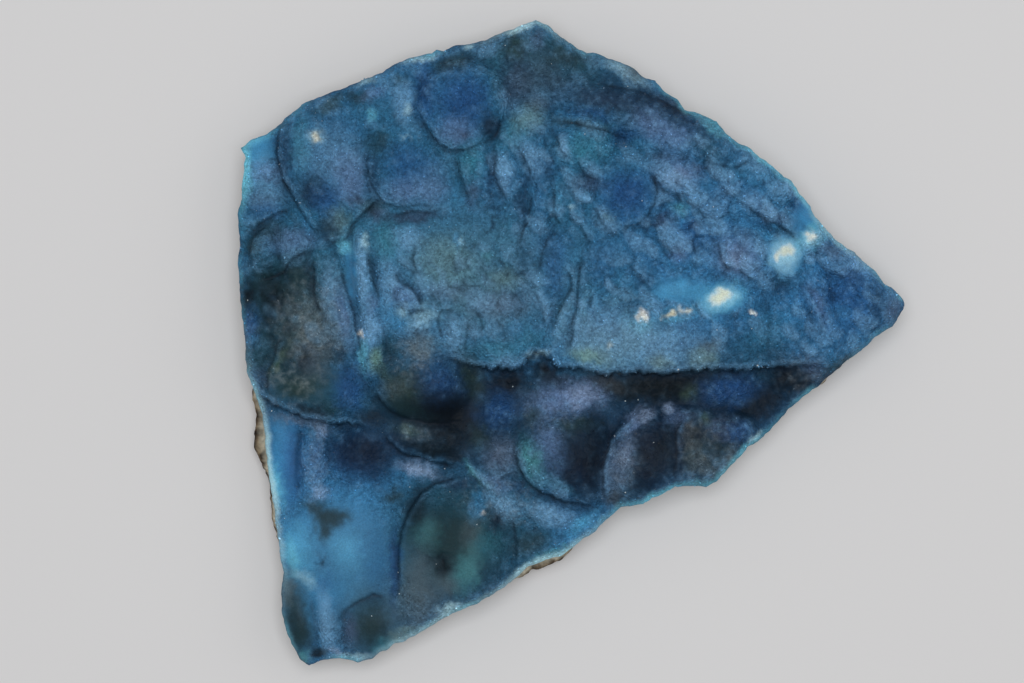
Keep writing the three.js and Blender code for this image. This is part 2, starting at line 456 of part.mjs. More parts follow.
function geometryFrom(solid) {
  const mesh = solid.getMesh();
  const geometry = new THREE.BufferGeometry();
  geometry.setAttribute("position", new THREE.Float32BufferAttribute(mesh.vertProperties, 3));
  geometry.setIndex(new THREE.BufferAttribute(mesh.triVerts, 1));
  return geometry;
}

// The blue crust, between the seam and its lobed upper surface, inside its broken edge
const crustEdge = column([-2, 2.5, 5.5, 8.5, 18], (x, y, level) => {
  const foot = clamp01((8.5 - level) / 6);
  return -CRUST_INSET * foot + 0.35 * foot * noise(x / 3 + level, y / 3, 6);
});
const crustSolid = block(crustTop, -SKIN_CLEARANCE, CRUST_GRID)
  .intersect(block(seam, 20, ROCK_GRID))
  .intersect(crustEdge);

// The rock, between its chipped underside and the seam
const rockEdge = column([-2, 0.9, 2.2, 6], (x, y, level) => {
  const foot = clamp01((2.2 - level) / 2.2);
  let out = -ROCK_INSET + 0.5 * noise(x / 4 - level, y / 4, 7) - 0.5 * foot;
  for (const [cx, cy, reach, far] of ROCK_LEDGES) {
    out += (ROCK_INSET + far) * Math.exp(-((x - cx) ** 2 + (y - cy) ** 2) / (2 * (reach / 2) ** 2));
  }
  return out;
});
const rockSolid = block((x, y) => seam(x, y) - SEAM_GAP, -SKIN_CLEARANCE, ROCK_GRID)
  .intersect(block(underside, 20, ROCK_GRID))
  .intersect(rockEdge);

const crustMaterial = new THREE.MeshStandardMaterial({ color: 0x37597a, roughness: 0.5, metalness: 0 });
const rockMaterial = new THREE.MeshStandardMaterial({ color: 0x7d6c5a, roughness: 0.9, metalness: 0 });

const crust = new THREE.Mesh(geometryFrom(crustSolid), crustMaterial);
crust.name = "hemimorphite_crust";
const rock = new THREE.Mesh(geometryFrom(rockSolid), rockMaterial);
rock.name = "matrix_rock";

const specimen = new THREE.Group();
specimen.name = "raw_hemimorphite";
specimen.add(crust, rock);
export default specimen;
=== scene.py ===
import math

import bpy
import numpy as np
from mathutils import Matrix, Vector
from mathutils.geometry import delaunay_2d_cdt


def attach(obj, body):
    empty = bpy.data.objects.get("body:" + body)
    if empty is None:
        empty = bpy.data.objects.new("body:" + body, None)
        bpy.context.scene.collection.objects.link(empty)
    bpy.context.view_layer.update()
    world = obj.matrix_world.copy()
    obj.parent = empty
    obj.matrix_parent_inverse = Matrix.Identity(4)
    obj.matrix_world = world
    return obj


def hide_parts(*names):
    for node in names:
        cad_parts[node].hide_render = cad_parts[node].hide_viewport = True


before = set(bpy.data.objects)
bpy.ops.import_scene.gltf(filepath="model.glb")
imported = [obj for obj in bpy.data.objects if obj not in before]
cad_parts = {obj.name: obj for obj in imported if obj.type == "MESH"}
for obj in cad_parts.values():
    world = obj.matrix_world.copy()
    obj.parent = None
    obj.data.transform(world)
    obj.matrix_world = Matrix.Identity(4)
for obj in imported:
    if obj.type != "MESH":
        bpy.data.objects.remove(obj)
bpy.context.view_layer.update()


# The matrix rock
# A thin plate of grey-brown banded rock, which the blue crust grew on. It broke off along its own
# bedding, so its underside is nearly flat, with shallow chips, and its broken edges show the bands.
MM = 0.001

# the broken edge of the whole plate, seen from above, clockwise from its topmost tip, in millimetres
PLATE_EDGE = np.array([
    [-5.3, 48.2], [-3.7, 47.5], [-2.1, 46.0], [-0.7, 44.9], [1.2, 43.7], [2.3, 43.1], [3.2, 43.3],
    [4.5, 42.8], [6.8, 41.9], [8.8, 41.2], [10.7, 39.5], [12.4, 39.0], [13.7, 37.5], [15.7, 36.2],
    [16.8, 34.7], [19.0, 34.1], [21.5, 32.9], [23.2, 30.9], [24.4, 29.9], [26.4, 29.0], [27.8, 27.6],
    [29.4, 26.6], [31.4, 24.7], [32.6, 24.2], [33.8, 22.4], [35.5, 20.3], [36.2, 18.8], [38.1, 16.6],
    [39.6, 15.2], [42.2, 13.7], [43.2, 12.3], [45.3, 10.7], [46.4, 9.0], [48.0, 8.2], [49.3, 6.8],
    [49.8, 5.7], [49.4, 4.7], [47.9, 2.5], [45.5, 1.1], [43.7, -0.6], [41.3, -2.4], [38.6, -4.7],
    [36.7, -6.6], [34.6, -8.0], [32.5, -9.8], [31.1, -11.5], [29.6, -13.1], [27.2, -15.1],
    [26.3, -15.5], [24.4, -17.6], [22.4, -19.7], [21.6, -20.7], [20.1, -21.4], [17.8, -21.2],
    [15.4, -21.3], [13.6, -22.4], [12.0, -23.0], [10.7, -23.9], [7.5, -24.5], [5.3, -26.2],
    [3.9, -27.8], [2.0, -29.1], [0.5, -30.3], [-1.5, -31.7], [-3.8, -32.3], [-6.0, -33.1],
    [-7.7, -34.5], [-9.9, -36.3], [-13.6, -38.5], [-16.1, -39.6], [-18.0, -40.4], [-19.8, -41.5],
    [-22.5, -43.2], [-25.1, -44.6], [-26.1, -44.8], [-27.6, -45.8], [-28.4, -46.0], [-29.6, -47.0],
    [-31.8, -47.6], [-34.5, -46.9], [-37.4, -47.4], [-39.1, -48.2], [-40.5, -47.1], [-41.7, -44.7],
    [-42.8, -41.9], [-43.3, -38.6], [-43.0, -34.1], [-43.4, -31.4], [-43.9, -28.1], [-44.4, -24.3],
    [-44.9, -21.3], [-45.4, -17.9], [-45.7, -13.8], [-46.1, -10.4], [-47.1, -7.5], [-48.2, -4.2],
    [-48.4, -2.3], [-48.5, 1.2], [-49.1, 5.3], [-49.4, 9.5], [-49.6, 12.2], [-49.3, 14.3],
    [-49.6, 19.2], [-49.1, 21.5], [-48.8, 24.5], [-48.6, 27.6], [-49.2, 29.1], [-47.6, 30.3],
    [-45.2, 31.1], [-43.7, 32.3], [-41.0, 34.7], [-39.3, 35.9], [-36.8, 36.8], [-33.6, 38.0],
    [-30.8, 39.2], [-28.1, 40.3], [-26.6, 41.3], [-24.0, 42.4], [-20.7, 43.1], [-20.0, 43.6],
    [-18.9, 43.4], [-17.1, 44.3], [-14.3, 44.7], [-12.5, 45.2], [-10.5, 46.1], [-8.6, 46.7],
])
EDGE_SPACING = 0.4
SEAM_GAP = 0.3


def noise(x, y, wavelength, seed):
    """Smooth noise from about -1 to 1, the same at every run."""
    turns = np.random.default_rng(seed).uniform(0, 2 * np.pi, (256, 256))
    u = np.asarray(x, float) / wavelength + 0.37 * seed
    v = np.asarray(y, float) / wavelength - 0.53 * seed
    i, j = np.floor(u).astype(int), np.floor(v).astype(int)
    total = 0
    for di in (0, 1):
        for dj in (0, 1):
            turn = turns[(i + di) % 256, (j + dj) % 256]
            s, t = u - i - di, v - j - dj
            a, b = 1 - np.abs(s), 1 - np.abs(t)
            weight = a * a * (3 - 2 * a) * b * b * (3 - 2 * b)
            total = total + weight * (np.cos(turn) * s + np.sin(turn) * t)
    return 1.6 * total


def layered(x, y, wavelength, seed, layers=4):
    """Several sizes of noise in one, each half as long and a bit over half as strong as the last."""
    return sum(0.55 ** k * noise(x, y, wavelength / 2 ** k, seed + k) for k in range(layers)) / 1.8


def smooth(value, low, high):
    """0 below low, 1 above high, and a smooth rise between them."""
    t = np.clip((value - low) / (high - low), 0, 1)
    return t * t * (3 - 2 * t)


def outwards(loop, reach=5):
    """The direction out of a clockwise loop at each of its points, evened over a few neighbours."""
    along = sum(np.roll(loop, -k, 0) - np.roll(loop, k, 0) for k in range(1, reach + 1))
    along /= np.hypot(*along.T)[:, None]
    return np.c_[-along[:, 1], along[:, 0]]


def broken_edge(spacing, seed):
    """The plate's edge as close points, with small chips broken inwards."""
    ends = np.roll(PLATE_EDGE, -1, 0)
    points = []
    for start, end in zip(PLATE_EDGE, ends):
        count = max(1, round(np.hypot(*(end - start)) / spacing))
        points += [start + (end - start) * k / count for k in range(count)]
    loop = np.array(points)
    x, y = loop.T
    chip = 0.14 * noise(x, y, 1.9, seed) + 0.12 * noise(x, y, 0.8, seed + 1)
    return loop + outwards(loop) * np.minimum(chip - 0.08, 0)[:, None]


def line_distance(x, y, line):
    """How far each place is from a line of points: signed, positive on the line's left, and the
    share of the line's pieces passed at the nearest point."""
    best = np.full(x.shape, np.inf)
    offset = np.zeros(x.shape)
    along = np.zeros(x.shape)
    for k, ((ax, ay), (bx, by)) in enumerate(zip(line, line[1:])):
        dx, dy = bx - ax, by - ay
        length = math.hypot(dx, dy)
        t = np.clip(((x - ax) * dx + (y - ay) * dy) / length ** 2, 0, 1)
        distance = np.hypot(x - ax - t * dx, y - ay - t * dy)
        across = (dx * (y - ay) - dy * (x - ax)) / length
        nearer = (distance < best - 1e-9) | ((distance < best + 1e-9) & (abs(across) > abs(offset)))
        best = np.where(nearer, distance, best)
        offset = np.where(nearer, across, offset)
        along = np.where(nearer, (k + t) / (len(line) - 1), along)
    return np.where(offset < 0, -best, best), along


# the plate seen from above as a fine sheet of places, on which depths and shapes are worked out
SHEET_STEP = 0.2
SHEET_LOW = np.array([-51.0, -50.0])
SHEET_COUNT = np.array([511, 501])
sheet_x, sheet_y = np.meshgrid(
    SHEET_LOW[0] + SHEET_STEP * np.arange(SHEET_COUNT[0]),
    SHEET_LOW[1] + SHEET_STEP * np.arange(SHEET_COUNT[1]),
)


def near(places, reach):
    """The part of the sheet that is within reach of some places."""
    low = np.floor((np.min(places, 0) - reach - SHEET_LOW) / SHEET_STEP).astype(int)
    high = np.ceil((np.max(places, 0) + reach - SHEET_LOW) / SHEET_STEP).astype(int) + 1
    low, high = np.maximum(low, 0), np.minimum(high, SHEET_COUNT)
    return slice(low[1], high[1]), slice(low[0], high[0])


def read_sheet(sheet, x, y):
    """The value of a sheet at each place, smoothly between its points."""
    u = np.clip((np.asarray(x) - SHEET_LOW[0]) / SHEET_STEP, 0, SHEET_COUNT[0] - 1.001)
    v = np.clip((np.asarray(y) - SHEET_LOW[1]) / SHEET_STEP, 0, SHEET_COUNT[1] - 1.001)
    i, j = np.floor(u).astype(int), np.floor(v).astype(int)
    s, t = u - i, v - j
    if sheet.ndim == 3:
        s, t = s[..., None], t[..., None]
    low = sheet[j, i] * (1 - s) + sheet[j, i + 1] * s
    high = sheet[j + 1, i] * (1 - s) + sheet[j + 1, i + 1] * s
    return low * (1 - t) + high * t


def depth_sheet(loop, reach=3.5):
    """How far each place of the sheet is inside a closed loop, up to reach, and negative outside."""
    depth = np.full(sheet_x.shape, reach)
    inside = np.zeros(sheet_x.shape, bool)
    rows_y = sheet_y[:, 0]
    for start, end in zip(loop, np.roll(loop, -1, 0)):
        part = near([start, end], reach)
        dx, dy = end - start
        across, up = sheet_x[part] - start[0], sheet_y[part] - start[1]
        t = np.clip((across * dx + up * dy) / (dx * dx + dy * dy + 1e-12), 0, 1)
        depth[part] = np.minimum(depth[part], np.hypot(across - t * dx, up - t * dy))
        rows = np.flatnonzero((start[1] > rows_y) != (end[1] > rows_y))
        if len(rows):
            crossing = start[0] + dx * (rows_y[rows] - start[1]) / dy
            inside[rows] ^= sheet_x[rows] < crossing[:, None]
    return np.where(inside, depth, -depth)


def fill(loop, inner):
    """Triangles, seen anticlockwise, over a loop's points and the inner ones, which they number on."""
    flat = np.r_[loop, inner]
    edges = [(k, (k + 1) % len(loop)) for k in range(len(loop))]
    places, _, faces, numbers, *_ = delaunay_2d_cdt([Vector(p) for p in flat], edges, [], 1, 1e-7)
    # where the loop crosses itself, the crossing counts as the loop's nearest point
    first = [n[0] if n else np.argmin(np.hypot(*(loop - place).T)) for n, place in zip(numbers, places)]
    faces = np.array(first)[np.array(faces)]
    a, b, c = faces.T
    faces = faces[(a != b) & (b != c) & (c != a)]
    a, b, c = (flat[faces[:, k]] for k in range(3))
    turned = np.cross(b - a, c - a) < 0
    faces[turned] = faces[turned][:, ::-1]
    return faces


def spread(loop, spacing):
    """Points in rows inside a loop, each row half a step on from the last, clear of the loop."""
    low, high = loop.min(0), loop.max(0)
    rows = np.arange(low[1], high[1], spacing * 0.87)
    columns = np.arange(low[0], high[0], spacing)
    x, y = np.meshgrid(columns, rows)
    x[1::2] += spacing / 2
    x, y = x.ravel(), y.ravel()
    keep = read_sheet(depth_sheet(loop), x, y) > 0.6 * spacing
    return np.c_[x[keep], y[keep]]


def link_piece(name, mesh):
    """A mesh as an object of the scene, at the origin of the frame."""
    piece = bpy.data.objects.new(name, mesh)
    bpy.context.scene.collection.objects.link(piece)
    return piece


def plate_mesh(name, rings, top_height, top_spacing, foot_height, foot_spacing):
    """A closed plate: a fine top inside the first ring, walls through the rings, and a coarse foot."""
    count = len(rings[0])
    top = spread(rings[0][:, :2], top_spacing)
    foot = spread(rings[-1][:, :2], foot_spacing)
    points = np.r_[
        np.vstack(rings),
        np.c_[top, top_height(*top.T)],
        np.c_[foot, foot_height(*foot.T)],
    ]
    wall = []
    step = np.arange(count)
    for level in range(len(rings) - 1):
        a, b = level * count + step, level * count + (step + 1) % count
        wall += [np.c_[a, b, b + count], np.c_[a, b + count, a + count]]
    top_faces = fill(rings[0][:, :2], top)
    top_faces = np.where(top_faces < count, top_faces, top_faces - count + len(rings) * count)
    foot_faces = fill(rings[-1][:, :2], foot)
    foot_start = len(rings) * count + len(top)
    last = (len(rings) - 1) * count
    foot_faces = np.where(foot_faces < count, foot_faces + last, foot_faces - count + foot_start)
    faces = np.vstack([*wall, top_faces, foot_faces[:, ::-1]])
    mesh = bpy.data.meshes.new(name)
    mesh.vertices.add(len(points))
    mesh.vertices.foreach_set("co", (points * MM).ravel())
    mesh.loops.add(3 * len(faces))
    mesh.loops.foreach_set("vertex_index", faces.ravel())
    mesh.polygons.add(len(faces))
    mesh.polygons.foreach_set("loop_start", np.arange(0, 3 * len(faces), 3))
    mesh.polygons.foreach_set("use_smooth", np.ones(len(faces), bool))
    mesh.update(calc_edges=True)
    mesh.validate()
    return link_piece(name, mesh), points


def paint(piece, name, colours):
    """Keeps a colour, linear, at each of a piece's vertices."""
    layer = piece.data.color_attributes.new(name, "FLOAT_COLOR", "POINT")
    layer.data.foreach_set("color", np.c_[colours, np.ones(len(colours))].ravel())


def mixed(base, over, share):
    """The colour at each place, with another laid over it by each place's share."""
    return base + (over - base) * share[:, None]


def colour(code):
    """A colour as seen on the stone, such as "2a5f96", as linear light."""
    value = np.array([int(code[k:k + 2], 16) for k in (0, 2, 4)]) / 255
    return np.where(value < 0.04045, value / 12.92, ((value + 0.055) / 1.055) ** 2.4)


def seam(x, y):
    """Height of the seam that the crust grew from."""
    return 3.1 + 0.6 * noise(x, y, 17, 3) + 0.25 * noise(x, y, 6, 4) - 0.03 * np.maximum(x, 0)


# where the rock sticks out past the crust: place, reach along the edge, and how far out
ROCK_LEDGES = [
    (-46.8, -14.5, 10, 1.7), (-47.2, -7.6, 3, -0.2), (-44.9, -26.0, 5.5, 0.6), (-43.6, -31.0, 4, -0.1),
    (-49.4, 24.0, 4, 0.6), (-4.5, -33.2, 6, 1.3), (0.6, -30.6, 3.5, -0.1), (-8.8, -35.9, 4, -0.3),
    (38.0, -5.6, 3, 0.7),
]
ROCK_INSET = 1.0


def rock_shift(x, y, height):
    """How far the rock's broken edge stands out past the crust's: it is stepped, as bands broke."""
    out = -ROCK_INSET + 0.45 * noise(x + 3 * height, y, 4, 7) + 0.25 * noise(x, y + 5 * height, 1.3, 8)
    for cx, cy, reach, far in ROCK_LEDGES:
        out += (ROCK_INSET + far) * np.exp(-((x - cx) ** 2 + (y - cy) ** 2) / (reach ** 2 / 2))
    return out


# chips in the underside: place, two half widths, and depth
CHIPS = [
    (-40, 14, 8, 12, 1.3), (-20, 36, 12, 6, 1.1), (14, 27, 9, 7, 0.9), (37, 8, 9, 6, 1.2),
    (22, -12, 8, 6, 1.0), (-36, -14, 6, 9, 0.8), (-30, -40, 9, 6, 1.2), (-4, -22, 7, 7, 0.7),
    (-17, 15, 6, 5, 0.6), (-1, 40, 7, 5, 1.0),
]


def underside(x, y):
    """Height of the underside, which is nearly flat, with shallow chips."""
    height = 0.12 + 0.12 * layered(x, y, 2.5, 21)
    for cx, cy, a, b, depth in CHIPS:
        bowl = 1 - ((x - cx) / a) ** 2 - ((y - cy) / b) ** 2
        height = height + depth * np.maximum(bowl, 0) * (0.8 + 0.3 * noise(x, y, 3, 22))
    return np.maximum(height, 0)


ROCK_LEVELS = 9
ROCK_TOP_INSET = 0.35
ROCK_FOOT_INSET = 0.5
ROCK_TOP_SPACING = 1.2
ROCK_FOOT_SPACING = 0.8
edge = broken_edge(EDGE_SPACING, 11)
edge_out = outwards(edge)
rock_rings = []
for level in range(ROCK_LEVELS):
    share = level / (ROCK_LEVELS - 1)
    top, bottom = seam(*edge.T) - SEAM_GAP, underside(*edge.T)
    height = top + (bottom - top) * share
    shift = rock_shift(*edge.T, height) - ROCK_FOOT_INSET * share ** 2 - ROCK_TOP_INSET * (share == 0)
    rock_rings.append(np.c_[edge + edge_out * shift[:, None], height])
rock, rock_points = plate_mesh(
    "matrix_rock_body", rock_rings, lambda x, y: seam(x, y) - SEAM_GAP, ROCK_TOP_SPACING,
    underside, ROCK_FOOT_SPACING,
)

# its bands follow the bedding and the broken edge, and a cream line lies under the crust
ROCK_BROWN = "665643"
ROCK_DARK = "231b14"
ROCK_PALE = "a89a80"
SEAM_CREAM = "d9d2bd"
x, y, z = rock_points.T
outside = read_sheet(depth_sheet(edge[::2]), x, y)
band = np.sin(9 * z + 10 * outside + 2.5 * noise(x, y, 5, 31) + 1.2 * noise(x, y, 1.6, 32))
rock_tint = colour(ROCK_BROWN)[None] * np.ones((len(x), 1))
rock_tint = mixed(rock_tint, colour(ROCK_DARK), smooth(band, -0.1, 0.7))
rock_tint = mixed(rock_tint, colour(ROCK_PALE), 0.5 * smooth(-band, 0.5, 1))
beside_crust = smooth(outside, -0.75, -0.4)
cream = beside_crust * smooth(z, seam(x, y) - SEAM_GAP - 0.5, seam(x, y) - SEAM_GAP - 0.2)
rock_tint = mixed(rock_tint, colour(SEAM_CREAM), 0.85 * cream)
paint(rock, "tint", rock_tint)


def new_finish(name):
    """A new material and its tree, still empty."""
    material = bpy.data.materials.new(name)
    material.use_nodes = True
    material.node_tree.nodes.clear()
    return material, material.node_tree


def give(tree, socket, value):
    """Sets an input, or links it where the value comes from another node."""
    if isinstance(value, bpy.types.NodeSocket):
        tree.links.new(value, socket)
    else:
        socket.default_value = value


def add(tree, kind, inputs=None, **values):
    """A new node with its settings and inputs, all by name."""
    node = tree.nodes.new(kind)
    for key, value in {**values, **(inputs or {})}.items():
        if key in node.inputs:
            give(tree, node.inputs[key], value)
        else:
            setattr(node, key, value)
    return node


def kept(tree, name):
    """What a piece keeps at its vertices, read in a material."""
    return add(tree, "ShaderNodeAttribute", attribute_name=name).outputs["Fac"]


def stretched(tree, value, low, high, to_low, to_high):
    """A value carried over from one range to another."""
    ranges = {"From Min": low, "From Max": high, "To Min": to_low, "To Max": to_high}
    return add(tree, "ShaderNodeMapRange", ranges, Value=value).outputs["Result"]


def scaled(tree, vector, scale):
    """A colour or a direction, times a number."""
    return add(tree, "ShaderNodeVectorMath", operation="SCALE", Vector=vector, Scale=scale).outputs["Vector"]


def product(tree, first, second):
    """One number times another."""
    node = add(tree, "ShaderNodeMath", operation="MULTIPLY")
    give(tree, node.inputs[0], first)
    give(tree, node.inputs[1], second)
    return node.outputs["Value"]


def cloudy(tree, scale, detail=2.0):
    """Noise over the stone's own places, with so many waves in a metre."""
    where = add(tree, "ShaderNodeTexCoord").outputs["Object"]
    return add(tree, "ShaderNodeTexNoise", Vector=where, Scale=scale, Detail=detail).outputs["Fac"]


def surface(tree, base, shine, inputs=None, **values):
    """The tree's one shader, with its base colour and how much it shines."""
    inputs = {"Base Color": base, "Specular IOR Level": shine, **(inputs or {})}
    shader = add(tree, "ShaderNodeBsdfPrincipled", inputs, **values)
    add(tree, "ShaderNodeOutputMaterial", Surface=shader.outputs["BSDF"])


# grains and pits of the rock, in waves to a metre, and how deep the pits are
ROCK_GRAIN_SCALE = 1800.0
ROCK_PIT_SCALE = 900.0
ROCK_PIT_DEPTH = 0.4 * MM


def rock_finish():
    """Rough broken rock in its vertices' tint, with grains and pits."""
    material, tree = new_finish("banded_rock")
    tint = add(tree, "ShaderNodeVertexColor", layer_name="tint").outputs["Color"]
    light = stretched(tree, cloudy(tree, ROCK_GRAIN_SCALE, 6.0), 0.3, 0.7, 0.7, 1.3)
    pits = cloudy(tree, ROCK_PIT_SCALE, 8.0)
    bump = add(tree, "ShaderNodeBump", Height=pits, Strength=0.6, Distance=ROCK_PIT_DEPTH)
    surface(tree, scaled(tree, tint, light), 0.25, Roughness=0.85, Normal=bump.outputs["Normal"])
    return material


rock.data.materials.append(rock_finish())
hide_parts("matrix_rock")
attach(rock, "root")


# The hemimorphite crust
# One layer of blue hemimorphite, which grew upwards from the rock in rounded lobes that overlap like
# shingles. It is waxy and a little translucent, and frosted where its crystals end in tiny points.

# the low ground under the lobes: place, and height
GROUND_REACH = 7
GROUND = [
    (-45, 25, 9.0), (-36, 30, 9.6), (-20, 38, 9.9), (-5, 44, 9.0), (10, 38, 10.1), (22, 28, 10.3),
    (32, 20, 9.9), (46, 7, 7.6), (36, 2, 9.4), (15, 12, 11.3), (0, 15, 11.5), (-15, 18, 11.2),
    (-15, 5, 11.4), (5, 0, 11.2), (-44, 10, 9.0), (-42, -4, 9.2), (-30, 8, 10.7), (0, -8, 8.6),
    (20, -8, 8.2), (33, -6, 7.4), (18, -18, 7.8), (-12, -10, 8.8), (-25, -12, 8.8), (-43, -15, 7.0),
    (-35, -28, 7.8), (-39, -43, 6.7), (-25, -42, 7.1), (-12, -32, 8.0), (0, -27, 7.8),
]

# lobes: place, two half widths, turn in degrees, crown height, drop to the rim, and how flat
LOBES = [
    # upper left, three large domes and the disc
    (-36.3, 27.5, 6.9, 9.9, 8, 11.6, 1.6, 2.5), (-36.8, 19.7, 4.2, 4.2, 0, 10.9, 1.4, 2),
    (-31.8, 21.0, 3.3, 3.3, 0, 11.1, 1.2, 2), (-23.7, 25.7, 6.3, 6.6, 0, 12.0, 1.3, 2),
    (-16.1, 34.7, 6.0, 6.4, 0, 12.2, 1.2, 4), (-6.0, 42.5, 7.5, 4.5, 0, 10.9, 1.3, 2),
    # left edge, the composite dome and its ribs
    (-45.3, 13.2, 2.4, 3.6, 0, 10.6, 1.2, 2), (-40.8, 14.0, 2.7, 3.9, 0, 10.8, 1.1, 2),
    (-40.5, 2.0, 8.4, 9.3, 0, 11.6, 2.2, 2), (-37.8, -4.8, 6.9, 6.8, 0, 11.3, 2.0, 2),
    (-46.2, -0.3, 3.0, 7.2, 0, 10.4, 1.6, 2), (-34.8, 6.5, 2.7, 8.3, 8, 11.9, 1.0, 2),
    (-30.3, 7.2, 1.4, 7.8, 6, 12.0, 0.9, 2), (-29.6, 0.2, 1.7, 3.3, 0, 11.8, 0.8, 2),
    # the rough plateau in the middle
    (-17.3, 8.0, 11.3, 9.3, 0, 12.5, 1.4, 2), (-24.3, 12.2, 4.5, 4.5, 0, 12.4, 0.9, 2),
    (-23.9, 6.5, 2.0, 1.3, -42, 13.0, 0.8, 3), (-22.5, 3.2, 3.0, 1.7, 25, 12.4, 0.7, 2),
    (-16.1, 2.3, 3.3, 2.7, 0, 12.6, 0.7, 2), (-10.5, 2.7, 4.2, 3.9, 0, 12.5, 0.8, 2),
    # tongues that hang down the page
    (-13.5, 25.7, 2.6, 5.7, 6, 12.2, 0.8, 2), (-9.3, 25.7, 2.1, 5.1, 8, 12.4, 0.8, 2),
    (-5.1, 28.7, 2.6, 4.5, 20, 12.7, 0.9, 2), (1.1, 29.3, 3.6, 3.3, 10, 12.9, 0.9, 2),
    (-4.2, 20.3, 1.5, 5.1, -6, 12.3, 0.7, 2), (0.6, 21.2, 3.0, 4.5, 8, 12.7, 0.8, 2),
    (-8.4, 16.7, 2.1, 6.0, -6, 12.1, 0.7, 2), (-1.5, 11.3, 2.7, 5.4, -8, 12.3, 0.8, 2),
    (-5.0, 6.5, 1.8, 3.9, 5, 12.3, 0.7, 2), (4.1, 11.7, 2.3, 4.8, 4, 12.4, 0.7, 2),
    (-1.2, 3.5, 1.5, 3.9, -18, 12.4, 0.7, 2), (2.1, 3.8, 1.7, 4.2, -18, 12.5, 0.7, 2),
    # the long ridge under the upper right edge
    (10.5, 33.2, 12.0, 3.3, -17, 12.3, 1.5, 2), (17.3, 29.3, 5.7, 2.0, -6, 12.6, 0.9, 2),
    (24.8, 28.2, 3.0, 2.1, -20, 11.4, 0.8, 2),
    # right, the second disc and the cluster of small lobes
    (7.5, 21.9, 5.1, 5.3, 0, 13.1, 1.3, 2.2), (15.5, 24.3, 3.8, 3.0, 0, 12.45, 0.7, 2.4),
    (20.6, 24.5, 1.7, 1.8, 0, 12.2, 0.6, 2), (21.3, 20.6, 2.6, 2.4, 0, 12.15, 0.7, 2),
    (24.2, 23.6, 2.2, 2.4, 30, 12.1, 0.6, 2), (26.9, 21.2, 2.9, 2.1, -30, 11.95, 0.6, 2),
    (30.0, 22.4, 2.1, 1.8, 0, 11.8, 0.6, 2), (27.8, 25.7, 3.6, 2.1, -20, 11.6, 0.7, 2),
    (31.2, 18.5, 3.6, 1.8, -30, 11.8, 0.8, 2), (25.3, 12.9, 4.6, 3.8, -35, 12.35, 0.8, 2.4),
    (17.6, 13.2, 4.1, 3.3, 0, 12.3, 0.8, 2), (31.4, 13.4, 2.7, 3.2, 0, 12.3, 1.1, 2),
    (35.1, 15.5, 2.4, 2.1, 20, 11.7, 0.9, 2), (16.5, 20.0, 2.4, 2.3, 0, 12.0, 0.7, 2),
    (9.8, 11.7, 4.8, 4.2, 0, 12.3, 0.8, 2),
    # the bright swell above the ledge, and the right tip
    (8.3, 1.2, 8.3, 5.7, 0, 12.8, 1.0, 2), (19.5, 1.7, 6.3, 5.4, 0, 12.5, 1.0, 2),
    (21.9, 6.5, 3.3, 2.1, 0, 12.9, 0.7, 2), (10.8, 3.8, 2.0, 1.7, 0, 13.1, 0.5, 2),
    (32.3, 3.2, 2.7, 5.1, -5, 11.5, 0.8, 2), (36.3, 6.5, 1.5, 6.3, 16, 11.4, 0.7, 2),
    (42.0, 6.5, 4.5, 5.1, 0, 10.4, 0.9, 2), (39.0, 12.2, 3.3, 1.8, -35, 10.7, 0.8, 2),
    (36.8, -0.3, 4.5, 2.7, 30, 10.9, 0.8, 2),
    # below the ledge
    (-22.2, -5.3, 7.5, 6.0, 0, 11.2, 1.8, 2.2), (-21.0, -13.4, 6.3, 3.8, -14, 9.9, 1.4, 2),
    (-10.8, -11.0, 3.6, 3.8, 0, 9.6, 1.1, 2), (0.5, -8.1, 6.3, 2.7, 8, 9.9, 1.1, 2),
    (-0.5, -16.8, 8.0, 7.2, 0, 10.8, 1.9, 2.6), (12.0, -16.4, 6.9, 7.8, -12, 10.9, 1.9, 2.6),
    (17.7, -11.3, 2.3, 1.8, 0, 9.9, 0.7, 2), (21.8, -16.4, 4.5, 4.8, 0, 9.7, 1.3, 2),
    (22.8, -12.8, 3.3, 2.1, 0, 9.8, 0.8, 2),
    # the tail
    (-38.1, -17.3, 1.8, 6.3, -4, 9.3, 0.8, 2), (-31.2, -16.1, 5.4, 4.5, 0, 9.0, 0.9, 2),
    (-33.8, -30.3, 8.3, 7.5, 0, 9.0, 1.1, 2), (-40.8, -40.8, 2.7, 6.0, 8, 8.5, 1.1, 2),
    (-36.0, -41.9, 1.7, 5.7, 8, 8.6, 0.8, 2), (-29.3, -41.9, 4.8, 4.5, 0, 8.8, 1.3, 2),
    (-17.7, -30.3, 7.8, 8.1, 0, 10.1, 1.8, 2.4), (-20.7, -27.8, 3.3, 3.6, 0, 10.4, 0.7, 2),
    (-14.4, -34.1, 3.3, 4.2, -20, 10.0, 0.8, 2), (-21.8, -38.6, 3.9, 3.3, 20, 8.9, 0.9, 2),
    (-6.0, -23.6, 8.7, 3.0, -16, 9.6, 0.9, 2), (-3.8, -29.6, 5.1, 2.7, 18, 8.8, 0.8, 2),
    (-11.3, -19.1, 3.9, 2.1, -35, 9.3, 0.7, 2),
]

